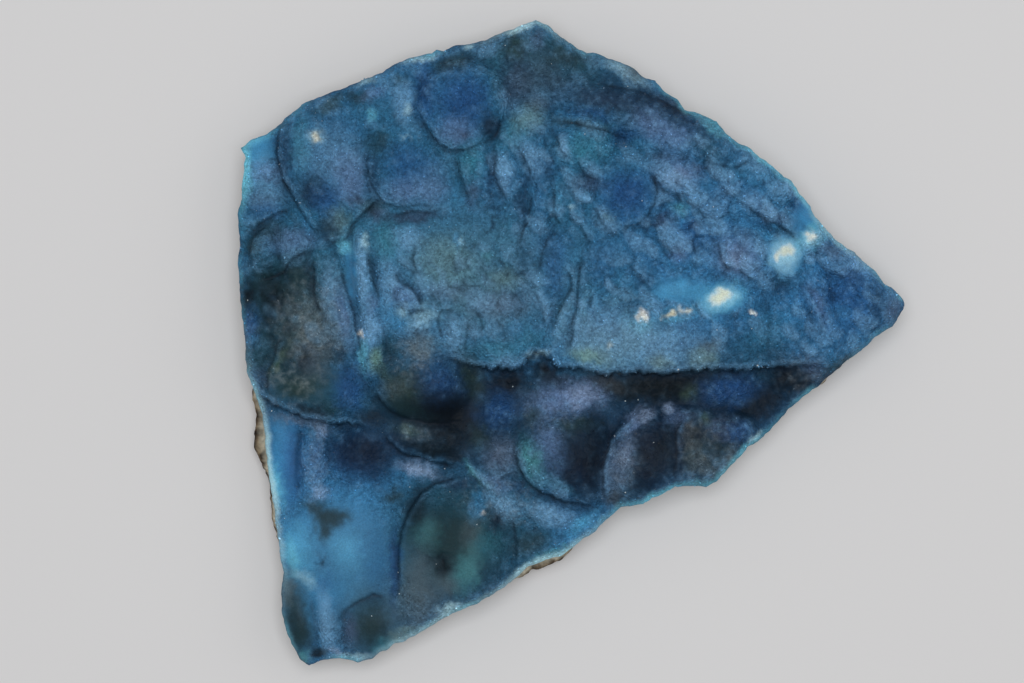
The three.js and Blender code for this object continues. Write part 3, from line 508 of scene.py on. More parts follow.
# lips, where one lobe overlaps the next: step, fade, frost on the upper lip, painted shade in the crease
# and at its foot, and the line, with the high side on the line's left
LIPS = [
    # the three large domes and the disc
    (0.39, 4.0, 0.1, 0.9, [(-42.5, 33.6), (-43.4, 31.0), (-43.7, 28.0), (-43.3, 26.0), (-42.5, 24.0),
        (-41.5, 22.0), (-40.2, 20.0), (-38.7, 17.4), (-37.0, 15.4)]),
    (0.33, 3.0, 0.1, 0.8, [(-37.0, 15.4), (-35.2, 14.9), (-33.4, 15.6), (-32.5, 17.5), (-31.0, 19.0),
        (-29.0, 21.0), (-27.6, 22.0)]),
    (0.28, 4.0, 0.1, 0.5, [(-29.6, 29.5), (-30.2, 26.5), (-29.6, 23.5), (-28.0, 21.0), (-25.5, 20.1),
        (-22.0, 20.6), (-19.0, 20.3)]),
    (0.33, 3.5, 0.25, 0.7, [(-22.3, 35.5), (-22.3, 34.0), (-21.5, 32.0), (-20.5, 30.5), (-19.0, 29.2),
        (-17.5, 28.5), (-15.5, 28.4), (-14.0, 29.0), (-12.3, 30.0), (-11.0, 31.2), (-10.2, 33.0),
        (-9.8, 34.8)]),
    (0.22, 2.0, 0.2, 0.6, [(-27.0, 18.5), (-24.0, 19.5), (-21.5, 19.4), (-19.0, 20.0)]),
    (0.28, 1.6, 0.3, 0.6, [(-48.0, 16.0), (-46.0, 18.0), (-44.0, 19.0), (-41.0, 20.0)]),
    # tongues and shingles that hang down the page
    (0.22, 2.6, 0.3, 0.6, [(-17.0, 27.4), (-16.8, 26.5), (-16.3, 24.5), (-15.5, 22.5), (-15.0, 21.0)]),
    (0.28, 2.6, 0.5, 0.7, [(-11.0, 28.5), (-11.3, 27.0), (-11.4, 25.0), (-10.8, 23.3), (-10.0, 22.0),
        (-9.5, 21.3)]),
    (0.28, 2.6, 0.5, 0.7, [(-8.0, 29.5), (-7.8, 28.3), (-7.0, 27.0), (-6.2, 25.8), (-5.8, 24.8)]),
    (0.33, 1.8, 0.9, 0.6, [(-2.2, 31.5), (-2.1, 30.0), (-1.8, 28.8), (-1.3, 27.8), (-0.3, 27.2)]),
    (0.28, 1.8, 0.6, 0.5, [(0.5, 27.0), (1.3, 26.0), (2.0, 25.0), (3.0, 24.5)]),
    (0.22, 3.0, 0.2, 0.7, [(-5.9, 23.0), (-6.0, 20.5), (-6.5, 18.0), (-7.3, 16.0), (-8.0, 13.5)]),
    (0.22, 3.0, 0.3, 0.6, [(-2.7, 24.0), (-2.6, 22.0), (-2.5, 20.0), (-2.0, 18.0), (-1.5, 17.3)]),
    (0.22, 2.0, 0.3, 0.5, [(-1.8, 16.7), (-3.5, 15.5), (-4.4, 12.8), (-5.1, 10.2)]),
    (0.28, 1.6, 0.7, 0.5, [(-5.7, 9.4), (-5.5, 7.6), (-4.7, 6.0), (-4.2, 4.2), (-3.9, 2.2)]),
    (0.22, 1.8, 0.6, 0.6, [(1.0, 18.0), (1.5, 17.0), (2.3, 15.5), (3.0, 14.8)]),
    (0.28, 1.8, 0.6, 0.7, [(-1.0, 11.6), (-0.3, 10.2), (0.1, 8.7), (-0.6, 7.0), (-1.6, 5.2), (-2.4, 3.2),
        (-3.1, 1.2)]),
    (0.33, 1.6, 0.6, 0.8, [(1.6, 13.2), (1.2, 10.6), (0.9, 8.0), (0.8, 5.4), (0.2, 3.4), (-0.1, 0.8),
        (-0.5, -1.8)]),
    (0.22, 1.6, 0.4, 0.5, [(3.2, 7.6), (2.8, 6.4), (2.3, 4.2), (1.8, 2.5)]),
    (0.28, 1.8, 0.8, 0.5, [(3.3, 20.3), (4.0, 18.5), (4.8, 17.5), (5.7, 16.5), (6.8, 15.6)]),
    # the left edge, the composite dome and its ribs
    (0.28, 3.0, 0.1, 0.8, [(-46.2, 9.4), (-44.0, 10.0), (-42.8, 10.5), (-42.0, 11.8), (-40.0, 13.2),
        (-38.0, 13.9)]),
    (0.22, 2.0, 0.3, 0.5, [(-44.3, 18.2), (-46.8, 16.2), (-47.6, 13.2), (-47.0, 11.0)]),
    (0.28, 3.0, 0.2, 0.5, [(-42.6, 0.8), (-43.5, -0.6), (-44.3, -3.0), (-45.0, -5.6), (-44.8, -7.6)]),
    (0.22, 1.8, 0.3, 0.7, [(-38.2, 13.0), (-38.0, 8.5), (-37.5, 6.0), (-36.7, 4.2)]),
    (0.33, 2.6, 0.2, 0.8, [(-31.0, -4.6), (-31.0, -2.0), (-31.3, 0.0), (-31.8, 2.5), (-32.3, 5.0),
        (-33.2, 7.5), (-33.8, 10.0), (-33.9, 12.6)]),
    (0.28, 1.6, 0.4, 0.7, [(-28.3, 5.8), (-28.6, 7.2), (-29.3, 9.0), (-29.9, 11.4), (-30.1, 14.2)]),
    (1.2, 4.5, 0.15, 0.9, [(-48.2, -5.8), (-46.4, -7.8), (-44.0, -9.2), (-42.0, -10.0), (-40.0, -10.8),
        (-38.0, -11.4), (-36.0, -11.8), (-33.0, -12.0), (-29.7, -12.6)]),
    # the rough plateau in the middle
    (0.22, 1.6, 0.3, 0.7, [(-23.2, 15.0), (-23.3, 12.6), (-22.9, 11.2), (-22.3, 10.0)]),
    (0.33, 1.4, 0.6, 0.8, [(-21.9, 5.2), (-22.6, 6.8), (-24.0, 8.2), (-25.6, 9.4), (-26.2, 10.6)]),
    (0.33, 1.4, 0.4, 0.8, [(-24.4, 3.9), (-23.4, 4.7), (-22.2, 5.0), (-21.9, 5.2)]),
    (0.28, 1.6, 0.4, 0.8, [(-19.1, 0.2), (-19.4, 1.6), (-19.6, 3.2), (-19.3, 4.7), (-18.2, 5.0),
        (-16.8, 4.8)]),
    (0.17, 1.4, 0.3, 0.5, [(-19.4, 4.9), (-20.0, 6.4), (-20.8, 7.4)]),
    (0.17, 1.2, 0.2, 0.6, [(-15.8, -1.4), (-15.6, 1.0), (-15.3, 2.6), (-15.5, 4.2)]),
    (0.17, 1.4, 0.3, 0.4, [(-13.6, 15.2), (-15.2, 13.4), (-15.6, 12.0), (-14.6, 10.6)]),
    # the ledge across the plate, and the arch in it
    (2.4, 6.0, 0.3, 1.0, [(-19.8, -2.0), (-17.6, -2.4), (-15.6, -2.9), (-13.6, -3.6), (-10.0, -3.9),
        (-7.4, -3.8), (-6.3, -2.2), (-5.1, -1.4), (-3.9, -1.5), (-3.0, -2.4), (-2.0, -3.9), (0.3, -3.7),
        (4.0, -4.6), (8.0, -4.5), (13.5, -4.6), (19.5, -3.9), (24.5, -4.0), (31.2, -3.5), (36.0, -3.0),
        (39.3, -3.9)]),
    # below the ledge
    (0.55, 3.0, 0.1, 0.8, [(-29.0, -7.0), (-28.2, -8.6), (-26.3, -10.2), (-24.0, -11.2), (-20.0, -11.8),
        (-15.6, -11.6)]),
    (0.55, 3.0, 0.2, 0.8, [(-28.1, -13.1), (-26.2, -15.3), (-24.2, -16.6), (-21.8, -17.1), (-19.4, -17.8),
        (-16.2, -18.3)]),
    (0.5, 3.4, 0.05, 0.9, [(-8.4, -14.0), (-8.5, -15.7), (-8.2, -17.2), (-7.7, -18.6), (-6.9, -20.0),
        (-5.7, -21.3), (-4.0, -22.3), (-2.0, -23.0), (0.4, -23.5), (3.0, -24.3), (5.1, -25.1)]),
    (0.5, 3.4, 0.4, 0.7, [(9.6, -10.6), (7.4, -12.2), (5.9, -14.2), (5.1, -16.4), (4.7, -18.6),
        (4.7, -21.0), (5.3, -24.0)]),
    (0.28, 2.0, 0.3, 0.6, [(16.6, -10.6), (15.6, -13.4), (15.4, -16.6), (15.2, -20.0)]),
    (0.5, 3.6, 0.05, 0.7, [(-15.0, -19.4), (-17.6, -20.2), (-20.2, -20.9), (-22.6, -22.6), (-24.2, -25.0),
        (-25.2, -28.0), (-25.6, -31.4), (-25.6, -35.0), (-25.4, -38.4)]),
    (0.22, 2.0, 0.2, 0.6, [(-9.0, -25.6), (-8.2, -28.0), (-8.0, -31.0), (-8.2, -33.8)]),
    (0.28, 1.6, 0.7, 0.4, [(-15.9, -17.6), (-14.9, -19.2), (-13.4, -20.9), (-12.0, -22.2)]),
    (0.28, 1.8, 0.3, 0.7, [(-34.6, -41.4), (-33.6, -39.6), (-32.0, -38.3), (-29.6, -37.3), (-27.4, -37.7)]),
    (0.1, 1.4, 0.0, 0.6, [(-38.2, -32.2), (-37.6, -32.5), (-36.9, -32.4), (-36.5, -31.6), (-36.3, -30.5)]),
    (0.1, 1.0, 0.0, 0.5, [(-37.0, -33.2), (-36.9, -32.4), (-37.3, -31.2), (-37.9, -30.6)]),
    (0.15, 1.6, 0.0, 0.7, [(-22.0, -31.0), (-21.0, -31.6), (-20.0, -31.7), (-19.3, -31.3), (-19.0, -30.4)]),
    (0.15, 1.4, 0.0, 0.7, [(-19.0, -31.5), (-18.9, -32.6), (-18.5, -34.0)]),
    (0.12, 2.0, 0.0, 0.4, [(-40.2, -12.4), (-40.4, -15.0), (-40.2, -18.0), (-39.4, -21.6)]),
    # fine curved wrinkles on the plateau
    (0.15, 1.0, 0.2, 0.6, [(-13.6, 11.6), (-12.6, 10.6), (-12.4, 9.4), (-13.0, 8.4)]),
    (0.15, 1.0, 0.2, 0.6, [(-11.2, 12.8), (-10.0, 11.8), (-9.4, 10.4), (-9.6, 9.0)]),
    (0.15, 1.0, 0.2, 0.6, [(-16.6, 9.4), (-15.6, 8.6), (-14.2, 8.4), (-13.0, 8.9)]),
    (0.15, 1.0, 0.1, 0.5, [(-18.6, 13.4), (-17.4, 12.4), (-17.0, 11.0), (-17.6, 9.8)]),
    (0.15, 1.0, 0.1, 0.5, [(-9.0, 7.6), (-7.8, 6.8), (-7.2, 5.4), (-7.6, 3.8)]),
    (0.15, 1.0, 0.1, 0.5, [(-14.6, 5.2), (-13.4, 4.0), (-13.0, 2.4), (-13.4, 0.8)]),
    (0.15, 1.0, 0.1, 0.5, [(-11.6, 3.6), (-10.4, 2.6), (-9.8, 1.0), (-10.2, -0.6)]),
    # the right side
    (0.2, 1.2, 0.3, 0.6, [(19.4, 27.5), (21.2, 26.5), (23.2, 26.0), (25.2, 26.5), (27.2, 27.5)]),
    (0.2, 1.0, 0.2, 0.6, [(15.0, 24.0), (16.0, 23.3), (17.0, 22.8)]),
    (0.33, 2.0, 0.4, 0.7, [(23.6, 21.6), (26.0, 20.0), (28.0, 18.7), (29.6, 18.0), (31.2, 17.1),
        (32.4, 16.2), (33.5, 15.1)]),
    (0.33, 1.6, 0.5, 0.5, [(12.3, 25.4), (12.5, 24.0), (13.2, 22.8), (14.5, 22.0), (16.5, 21.9),
        (17.9, 22.1)]),
    (0.28, 2.6, 0.1, 0.7, [(6.5, 17.7), (8.0, 17.3), (9.8, 17.7), (11.3, 19.0), (12.3, 20.5), (12.6, 22.5),
        (12.0, 24.5), (10.5, 26.0)]),
    (0.33, 1.6, 0.7, 0.6, [(21.3, 16.4), (21.7, 14.2), (22.0, 12.4), (23.0, 11.2), (25.0, 10.5),
        (26.5, 9.5), (27.6, 9.0)]),
    (0.22, 1.2, 0.8, 0.6, [(18.6, 20.6), (18.9, 19.6), (19.6, 18.6), (21.4, 18.4), (23.2, 18.9)]),
    (0.22, 1.2, 0.7, 0.5, [(22.0, 23.4), (22.6, 22.3), (23.8, 21.7), (25.4, 22.8)]),
    (0.17, 1.4, 0.6, 0.3, [(37.9, 1.4), (37.0, 3.8), (36.0, 6.0), (34.6, 8.6)]),
    (0.28, 2.0, 0.2, 0.7, [(4.5, 38.3), (6.0, 38.0), (9.0, 37.6), (12.0, 36.4), (16.0, 34.5),
        (18.6, 33.6)]),
    (0.28, 2.0, 0.2, 0.7, [(-3.0, 33.1), (0.0, 32.5), (3.0, 31.8), (6.0, 31.0), (9.0, 30.2)]),
]

# colours as they look on the stone
STONE = {
    "ink": "0a1826", "navy": "10243d", "deep": "173757", "royal": "1c477c", "blue": "255a86",
    "azure": "2f74a6", "sky": "3f8dba", "cyan": "58abc8", "ice": "86b6c8", "frost": "5688b0",
    "lilac": "4a6a94", "mist": "7391b4", "dusk": "374a68", "plum": "2d3d5a", "mauve": "475d76",
    "brown": "3b4850", "steel": "3b687e", "slate": "3d5462", "ash": "465b64", "teal": "215b76",
    "sea": "2d7086", "jade": "3a7885", "pine": "163238", "smoke": "223c48", "coal": "10202b",
    "olive": "223a3a", "moss": "35503f", "lime": "5f8a74", "sage": "5c7d7a", "tan": "a9b29c",
    "cream": "c3cdc6", "white": "dfe9ee", "dust": "74868e",
}

# soft patches of colour, in the order that they lie: colour, place, two half widths, strength, and
# the turn where there is one
PATCHES = [
    # broad tones
    ("teal", -12, 20, 26, 20, 0.3), ("steel", -16, 9, 14, 9, 0.75), ("azure", 8, 3, 10, 7, 0.3),
    ("azure", 25, 16, 14, 9, 0.5, -35), ("blue", 12, 18, 16, 12, 0.4), ("azure", 38, 5, 9, 7, 0.45),
    ("azure", -26, 4, 6, 10, 0.4), ("royal", 38, 7, 12, 9, 0.35), ("azure", -36, -28, 11, 17, 0.5),
    ("navy", 14, -12, 22, 9, 0.8, 12), ("pine", -41, 1, 8, 11, 0.85), ("navy", -17, -10, 13, 7, 0.85, -8),
    ("coal", -21, -10, 8, 6, 0.6, -14), ("pine", -17, -30, 9, 9, 0.85),
    # the coal strip at (10, -6.5) runs just under the ledge: partly the dark band's own colour, partly
    # painted shadow of the ledge
    ("coal", 10, -6.5, 26, 2.2, 0.8, 2), ("smoke", -6, 42, 13, 3.4, 0.5, -10),
    ("deep", 12, 35, 12, 2.4, 0.6, -25), ("slate", -24, -38, 7, 6, 0.6, 20), ("deep", -45, 20, 4, 6, 0.4),
    # the upper left corner
    ("sky", -46.2, 26.2, 2.4, 5.4, 0.45, 6), ("azure", -46.4, 29.2, 2.6, 1.8, 0.35, 25),
    ("frost", -45.2, 23.2, 2.6, 3.4, 0.45), ("pine", -48.6, 29, 0.8, 1.0, 0.7),
    ("cyan", -48.4, 25.2, 1.0, 3.0, 0.7), ("lilac", -45, 25.6, 2.4, 1.4, 0.6),
    ("dusk", -46, 21.6, 2.4, 1.5, 0.4), ("royal", -45, 19.6, 2.4, 1.3, 0.45),
    ("smoke", -45, 16.6, 2.6, 1.5, 0.7), ("pine", -47, 14.3, 1.4, 1.5, 0.7),
    ("lilac", -41, 15.2, 3.4, 1.8, 0.55, 10), ("plum", -44.6, 24.1, 2.4, 0.4, 0.45, -12),
    # the first large dome, with painted shade along its left flank in the deep strip at (-42.3, 28)
    ("teal", -37, 28, 7.5, 9, 0.2), ("deep", -36, 28, 6, 8, 0.22), ("deep", -42.3, 28, 1.3, 4.6, 0.65),
    ("sea", -40, 29.5, 1.3, 4, 0.45), ("olive", -35.8, 35.3, 2.4, 1.1, 0.75, 25),
    ("frost", -35.4, 27.6, 4.2, 4.4, 0.4, 30), ("blue", -33, 31.8, 3.2, 2, 0.5),
    ("lilac", -33, 26, 2.3, 2.3, 0.5), ("navy", -38.3, 22.5, 2.1, 2.3, 0.7),
    ("royal", -36.2, 21, 2.1, 2.2, 0.7), ("lilac", -32.4, 22.8, 2.1, 2.4, 0.6),
    ("plum", -31.7, 21, 1.6, 0.5, 0.6), ("sage", -34.5, 17.8, 1.6, 1.9, 0.45),
    ("navy", -36, 17, 1.5, 2, 0.65), ("olive", -29.5, 20.2, 1.6, 1.2, 0.7),
    ("dusk", -28.6, 19, 1.5, 1.0, 0.6), ("ice", -37.5, 30.5, 1.1, 1.1, 0.3),
    ("tan", -37.5, 30.5, 0.5, 0.6, 0.55), ("azure", -39.2, 17.9, 0.7, 2.4, 0.5, 28),
    # between the domes and the upper edge
    ("deep", -29.3, 25, 0.9, 3.4, 0.7), ("pine", -28.4, 29.6, 1.6, 1.7, 0.6),
    ("pine", -31.4, 36.5, 1.4, 0.9, 0.7), ("lilac", -29.4, 37, 1.9, 1.0, 0.5, 20),
    ("ice", -30.5, 39, 1.6, 0.6, 0.5, 20), ("cyan", -29.5, 33.8, 0.6, 0.8, 0.35),
    ("frost", -24.8, 35.8, 1.5, 2.4, 0.6), ("ice", -24, 34.5, 0.7, 0.9, 0.5),
    ("royal", -21.8, 37.6, 1.3, 4.4, 0.8), ("pine", -25.5, 39, 1.3, 0.8, 0.6),
    ("ice", -22.5, 42.2, 2.6, 0.6, 0.6, 12), ("olive", -17.5, 41.3, 2.7, 1.4, 0.8, 15),
    ("ice", -15.5, 44, 0.8, 0.4, 0.6, 10), ("olive", -8.3, 44, 2.1, 2.1, 0.8),
    ("plum", -5.2, 45, 1.0, 1.7, 0.6), ("ice", -7.4, 46.9, 1.9, 0.6, 0.7, 30),
    ("deep", -9, 40.5, 2.6, 1.8, 0.5), ("frost", -12.5, 43.6, 1.6, 0.9, 0.4, 15),
    # the disc and the second large dome
    ("royal", -15.6, 35.6, 4.6, 4.4, 0.9), ("lilac", -17.2, 31, 2.8, 2.0, 0.6),
    ("plum", -15.8, 30.7, 0.9, 0.7, 0.6), ("navy", -12, 31.9, 1.2, 1.9, 0.8),
    ("teal", -10.8, 38.5, 1.4, 3.8, 0.6), ("dusk", -8.2, 37.5, 2.7, 2.6, 0.55),
    ("brown", -5, 35.2, 1.6, 1.2, 0.6), ("brown", -3.5, 38.8, 5.5, 3.2, 0.4, -10),
    ("ice", -24.7, 30.5, 0.7, 0.25, 0.4, -20), ("royal", -24, 26.2, 3.4, 3.4, 0.65),
    ("lilac", -24, 22.4, 4.2, 1.8, 0.55), ("plum", -23.5, 18.7, 3.8, 0.9, 0.65, 5),
    ("frost", -24.2, 15.4, 2.1, 1.4, 0.55), ("steel", -19.5, 14.6, 3, 1.8, 0.4),
    ("sea", -27.4, 15.2, 1.6, 2.6, 0.5), ("lilac", -20, 24, 2.0, 3.0, 0.35),
    ("ice", -16.4, 15, 0.5, 0.5, 0.5),
    # the tongues
    ("sea", -14.8, 26.5, 1.6, 2.4, 0.5), ("dusk", -14.6, 22.3, 1.0, 1.9, 0.55),
    ("deep", -12, 25.2, 0.8, 3.2, 0.75), ("navy", -12, 17.4, 0.4, 1.4, 0.6, -25),
    ("frost", -9.8, 24.6, 1.2, 2.6, 0.5), ("sea", -8.6, 30.4, 1.6, 1.8, 0.45),
    ("frost", -5.8, 26.2, 1.5, 2.2, 0.5, 20), ("sage", -6.4, 33, 2.4, 1.8, 0.45),
    ("deep", -7.3, 20.5, 0.9, 3.6, 0.7), ("blue", -4.8, 21, 1.0, 3.2, 0.6),
    ("sky", -2.2, 20.4, 0.5, 3.0, 0.45), ("ice", 0, 20, 0.4, 0.5, 0.6), ("deep", -3.4, 26, 0.9, 2.4, 0.6),
    ("teal", -9.6, 15, 1.6, 4.0, 0.35), ("sea", 2, 28.9, 3.6, 2.0, 0.5),
    ("frost", -1.2, 28.4, 0.8, 1.2, 0.6), ("plum", 2.6, 23.4, 2.6, 1.3, 0.65),
    ("royal", -2.5, 14, 2.4, 3.0, 0.4), ("deep", -7.2, 11.5, 1.4, 3.8, 0.5, 5),
    ("royal", -2.6, 9.5, 1.6, 3.4, 0.45), ("royal", 4.2, 12, 2.2, 3.6, 0.35),
    # the upper right edge
    ("olive", 0, 42, 4.0, 1.6, 0.8, -20), ("teal", 2, 39.8, 3.8, 1.6, 0.5, -10),
    ("ice", 8.4, 40.1, 3.4, 1.1, 0.5, -35), ("brown", 9.2, 39.9, 1.2, 0.8, 0.7, -35),
    ("navy", 14.4, 35.2, 3.6, 1.0, 0.75, -25), ("plum", 5.8, 35.7, 4.2, 1.5, 0.75, -6),
    ("smoke", 8, 35.4, 7, 2.6, 0.3, -15), ("deep", 8, 36, 9, 3.4, 0.6, -20),
    ("royal", 3, 33.8, 3.2, 0.7, 0.6, -10), ("olive", 1.5, 32.2, 4.4, 0.6, 0.65, -12),
    ("lilac", 11.4, 32.4, 2.6, 2.0, 0.6, -20), ("lilac", 15, 30.4, 3.0, 2.0, 0.6, -10),
    ("royal", 7.6, 30.8, 1.6, 1.4, 0.7), ("deep", 17.2, 32.5, 3.0, 1.0, 0.7, -18),
    ("cyan", 20.6, 32.0, 3.0, 0.7, 0.4, -38), ("frost", 26.5, 26.6, 2.6, 1.4, 0.4, -38),
    ("smoke", 20.4, 28.6, 3.0, 1.4, 0.4, -20), ("blue", 23.5, 28, 2.4, 1.6, 0.5, -30),
    ("plum", 13.4, 27.5, 1.6, 0.9, 0.4), ("plum", 18.5, 25.8, 1.2, 0.8, 0.5),
    # the second disc and the small lobes
    ("royal", 8, 22, 3.6, 3.4, 0.9), ("frost", 4.8, 18.2, 1.2, 1.8, 0.5, 30),
    ("moss", 5.3, 18.6, 0.7, 0.8, 0.4), ("lilac", 15.6, 24.9, 3.2, 2.4, 0.7, -5),
    ("mist", 15.2, 24.2, 1.8, 1.2, 0.35, 10), ("jade", 16, 20, 1.6, 1.0, 0.6),
    ("plum", 13.5, 18, 1.6, 1.0, 0.7), ("plum", 18, 17.2, 1.0, 0.8, 0.6),
    ("royal", 17.6, 15.4, 2.6, 2.2, 0.6), ("lilac", 15.8, 13.2, 1.3, 1.3, 0.6),
    ("frost", 21, 20.4, 1.8, 1.5, 0.4), ("frost", 23.2, 23, 1.4, 1.4, 0.6),
    ("frost", 26.5, 21.2, 1.8, 1.2, 0.6, -10), ("frost", 31, 23, 2.1, 1.2, 0.45, -25),
    ("dusk", 29.6, 19.0, 3.4, 1.2, 0.6, -25), ("royal", 33.6, 21, 1.4, 1.4, 0.5, -40),
    ("azure", 34.4, 18.8, 1.6, 2.2, 0.7, -30), ("cyan", 36.6, 16.8, 1.3, 1.8, 0.5, -40),
    ("lilac", 24.6, 13.0, 3.8, 3.0, 0.75, -35), ("mist", 24.0, 12.4, 1.8, 1.4, 0.3, -35),
    ("deep", 29.2, 10, 2.2, 1.2, 0.5, -20), ("deep", 30.7, 8.3, 1.5, 1.3, 0.6),
    # the cream cores and their halos
    ("sky", 31.4, 13.2, 2.8, 3.0, 0.6), ("ice", 31.4, 13.2, 1.9, 2.3, 0.6),
    ("cream", 31.7, 13.8, 1.0, 0.7, 0.8, 30), ("cream", 30.4, 12.8, 0.7, 0.45, 0.7, 50),
    ("cyan", 35, 15.2, 2.2, 1.3, 0.45, 20), ("ice", 35.2, 15.5, 1.4, 0.9, 0.6, 30),
    ("cream", 35.3, 15.7, 0.8, 0.4, 0.8, 35), ("sky", 21.0, 6.7, 4.6, 2.4, 0.45, 10),
    ("cyan", 22, 6.6, 2.8, 1.7, 0.45, 15), ("ice", 21.9, 6.8, 2.1, 1.3, 0.6, 20),
    ("cream", 21.7, 6.8, 1.4, 0.8, 0.9, 25), ("cream", 22.8, 7.5, 0.8, 0.45, 0.7, 10),
    ("sky", 15.6, 8, 3.8, 1.6, 0.5, 5), ("cyan", 15.6, 4.2, 2.6, 1.0, 0.25, 8),
    ("tan", 16.9, 4.9, 0.85, 0.4, 0.95, 12), ("tan", 14.7, 4.45, 1.0, 0.4, 0.95, 8),
    ("white", 26.7, 4.6, 0.55, 0.3, 0.9, -25), ("cyan", 10.3, 2.9, 1.5, 1.6, 0.45),
    ("cream", 10.4, 4, 0.95, 0.8, 1, 30), ("tan", 5.6, -0.4, 0.55, 0.4, 0.8),
    # the right tip
    ("dusk", 38.2, 13.6, 1.7, 1.0, 0.65, -30), ("frost", 42, 12.2, 2.6, 1.1, 0.65, -38),
    ("dusk", 41.5, 10, 1.8, 1.0, 0.4, -30), ("royal", 40, 6, 4.6, 4.4, 0.75),
    ("azure", 39.6, 4.4, 1.7, 1.7, 0.4), ("deep", 45.4, 5.6, 1.7, 3.6, 0.6),
    ("dusk", 48, 5.0, 1.2, 1.9, 0.65), ("cyan", 48.9, 7.1, 0.9, 0.8, 0.7, -40),
    ("coal", 34.4, -5.4, 2.6, 2.0, 0.6, 40), ("dusk", 36, -3.6, 1.4, 2.0, 0.5),
    ("pine", 40.2, -3.0, 2.4, 0.9, 0.75, 35), ("azure", 32.3, 4.2, 1.6, 1.4, 0.35),
    ("lilac", 36.2, 6, 0.7, 3.4, 0.5, 22),
    # the bright swell above the ledge
    ("frost", 8, 0.8, 9, 4.2, 0.35), ("frost", 4.8, 1.6, 4.4, 3.8, 0.5),
    ("frost", 13.6, -0.6, 5.4, 2.8, 0.5), ("sage", 3, -1.8, 3.4, 1.2, 0.35, -12),
    ("lime", 2, -2.1, 2.2, 0.7, 0.35, -12), ("sage", 13, -2.6, 1.6, 1.1, 0.5),
    ("steel", 7.5, 6, 3.4, 2.0, 0.35), ("deep", 11, 9.2, 1.7, 1.1, 0.5), ("sage", 6, 0.4, 7, 3.2, 0.22),
    ("deep", 8.5, 5.6, 1.6, 0.9, 0.35), ("ash", 20.2, -0.4, 1.7, 1.1, 0.6),
    ("sage", 19.2, -2.3, 2.0, 1.4, 0.5), ("teal", 28.4, 0, 3.4, 4.2, 0.5),
    ("deep", 29.5, -1.6, 3.0, 1.6, 0.4),
    # the plateau
    ("sage", -19, 12, 4.4, 3.2, 0.3), ("mauve", -18.5, 7.6, 3.6, 1.4, 0.4, 5),
    ("mauve", -10.8, 5.8, 4.2, 1.9, 0.55), ("jade", -12.5, 13, 1.0, 0.8, 0.45),
    ("azure", -16.8, 15.0, 0.5, 0.9, 0.5), ("sage", -10, 9.4, 2.4, 1.4, 0.35),
    ("lilac", -24.4, 6.9, 1.9, 1.5, 0.6, -42), ("ice", -22, 3.8, 1.9, 1.5, 0.4, 25),
    ("ice", -25, 4.7, 0.8, 1.0, 0.45), ("frost", -17.4, 1.4, 1.4, 2.8, 0.5),
    ("mauve", -26, 8.2, 1.0, 2.0, 0.3), ("frost", -9.6, -2.6, 2.2, 1.0, 0.5),
    ("sea", -11, -1.0, 4, 1.6, 0.4), ("teal", -6, 0.6, 2.6, 1.7, 0.6),
    ("steel", -1.1, 4.2, 0.9, 3.4, 0.5, -18), ("steel", 1.7, 5, 0.7, 3.2, 0.5, -10),
    ("ink", -4, -3.5, 1.7, 1.2, 0.95, -20), ("ice", -5, -1.5, 1.6, 0.35, 0.6, 10),
    # the composite dome on the left
    ("pine", -45.4, 8.6, 3.4, 3.0, 0.85), ("coal", -48, 6.8, 1.2, 1.8, 0.9),
    ("coal", -44.6, 6, 1.6, 4.0, 0.65), ("royal", -47.4, 2.4, 1.2, 2.4, 0.85),
    ("azure", -47.3, 0.6, 0.7, 0.8, 0.5), ("pine", -46.6, -2.6, 1.6, 1.4, 0.5),
    ("dusk", -46.2, -5, 1.4, 1.6, 0.4), ("pine", -40.6, 9.6, 2.8, 3.2, 0.8),
    ("coal", -42.6, 6.4, 2.4, 1.6, 0.6, -30), ("teal", -37.2, 10.6, 0.6, 2.6, 0.5),
    ("ash", -38.4, 2.6, 3.6, 4.6, 0.65), ("brown", -38.4, -2.2, 2.8, 2.8, 0.5),
    ("pine", -42.8, -2, 1.3, 2.6, 0.65, -25), ("olive", -40.5, -6.5, 3.8, 2.2, 0.85),
    ("pine", -35.6, -9.4, 2.6, 1.4, 0.7), ("coal", -39.4, -2.5, 0.6, 1.4, 0.7, -10),
    ("coal", -34.0, -1.6, 0.5, 1.6, 0.5, 10), ("coal", -42.0, 2.6, 0.5, 1.6, 0.5, -15),
    ("ash", -36.0, 0.2, 1.6, 1.2, 0.5), ("royal", -32.8, -6.8, 1.9, 3.2, 0.8),
    ("moss", -43.2, -2.6, 0.5, 2.6, 0.6, -29), ("coal", -38.4, -10.2, 3.4, 0.8, 0.8, -12),
    ("ink", -30, -11, 2.0, 1.2, 0.7),
    # the ribs
    ("frost", -35.5, 8, 1.1, 3.6, 0.5), ("lilac", -33.5, 4, 1.1, 3.8, 0.6, 8),
    ("azure", -32.6, 10, 0.7, 5.0, 0.6, 7), ("frost", -30.9, 9.6, 1.0, 5.0, 0.7, 5),
    ("lilac", -29.3, 5.6, 0.8, 1.6, 0.5), ("deep", -28.8, 11, 0.6, 3.0, 0.5, 8),
    ("frost", -29.8, 2.0, 1.8, 2.0, 0.75), ("cyan", -30.7, -1.6, 0.7, 2.2, 0.55),
    ("cream", -30.8, 1.4, 0.25, 0.5, 0.7), ("cyan", -33.2, 14.4, 0.9, 1.1, 0.65),
    ("ice", -30.5, 15, 0.6, 1.2, 0.6), ("frost", -27.2, 8.6, 1.0, 3.4, 0.45),
    # the first dome below the ledge
    ("ash", -22.6, -0.4, 2.3, 2.3, 0.75), ("pine", -26.8, -0.8, 1.8, 2.6, 0.7),
    ("lime", -28.9, -2.4, 0.8, 1.6, 0.5, -20), ("moss", -28.0, -4.0, 0.9, 2.8, 0.5, 25),
    ("olive", -24.8, -6.6, 3.2, 2.8, 0.85), ("royal", -19.4, -5.4, 3.0, 3.0, 0.6),
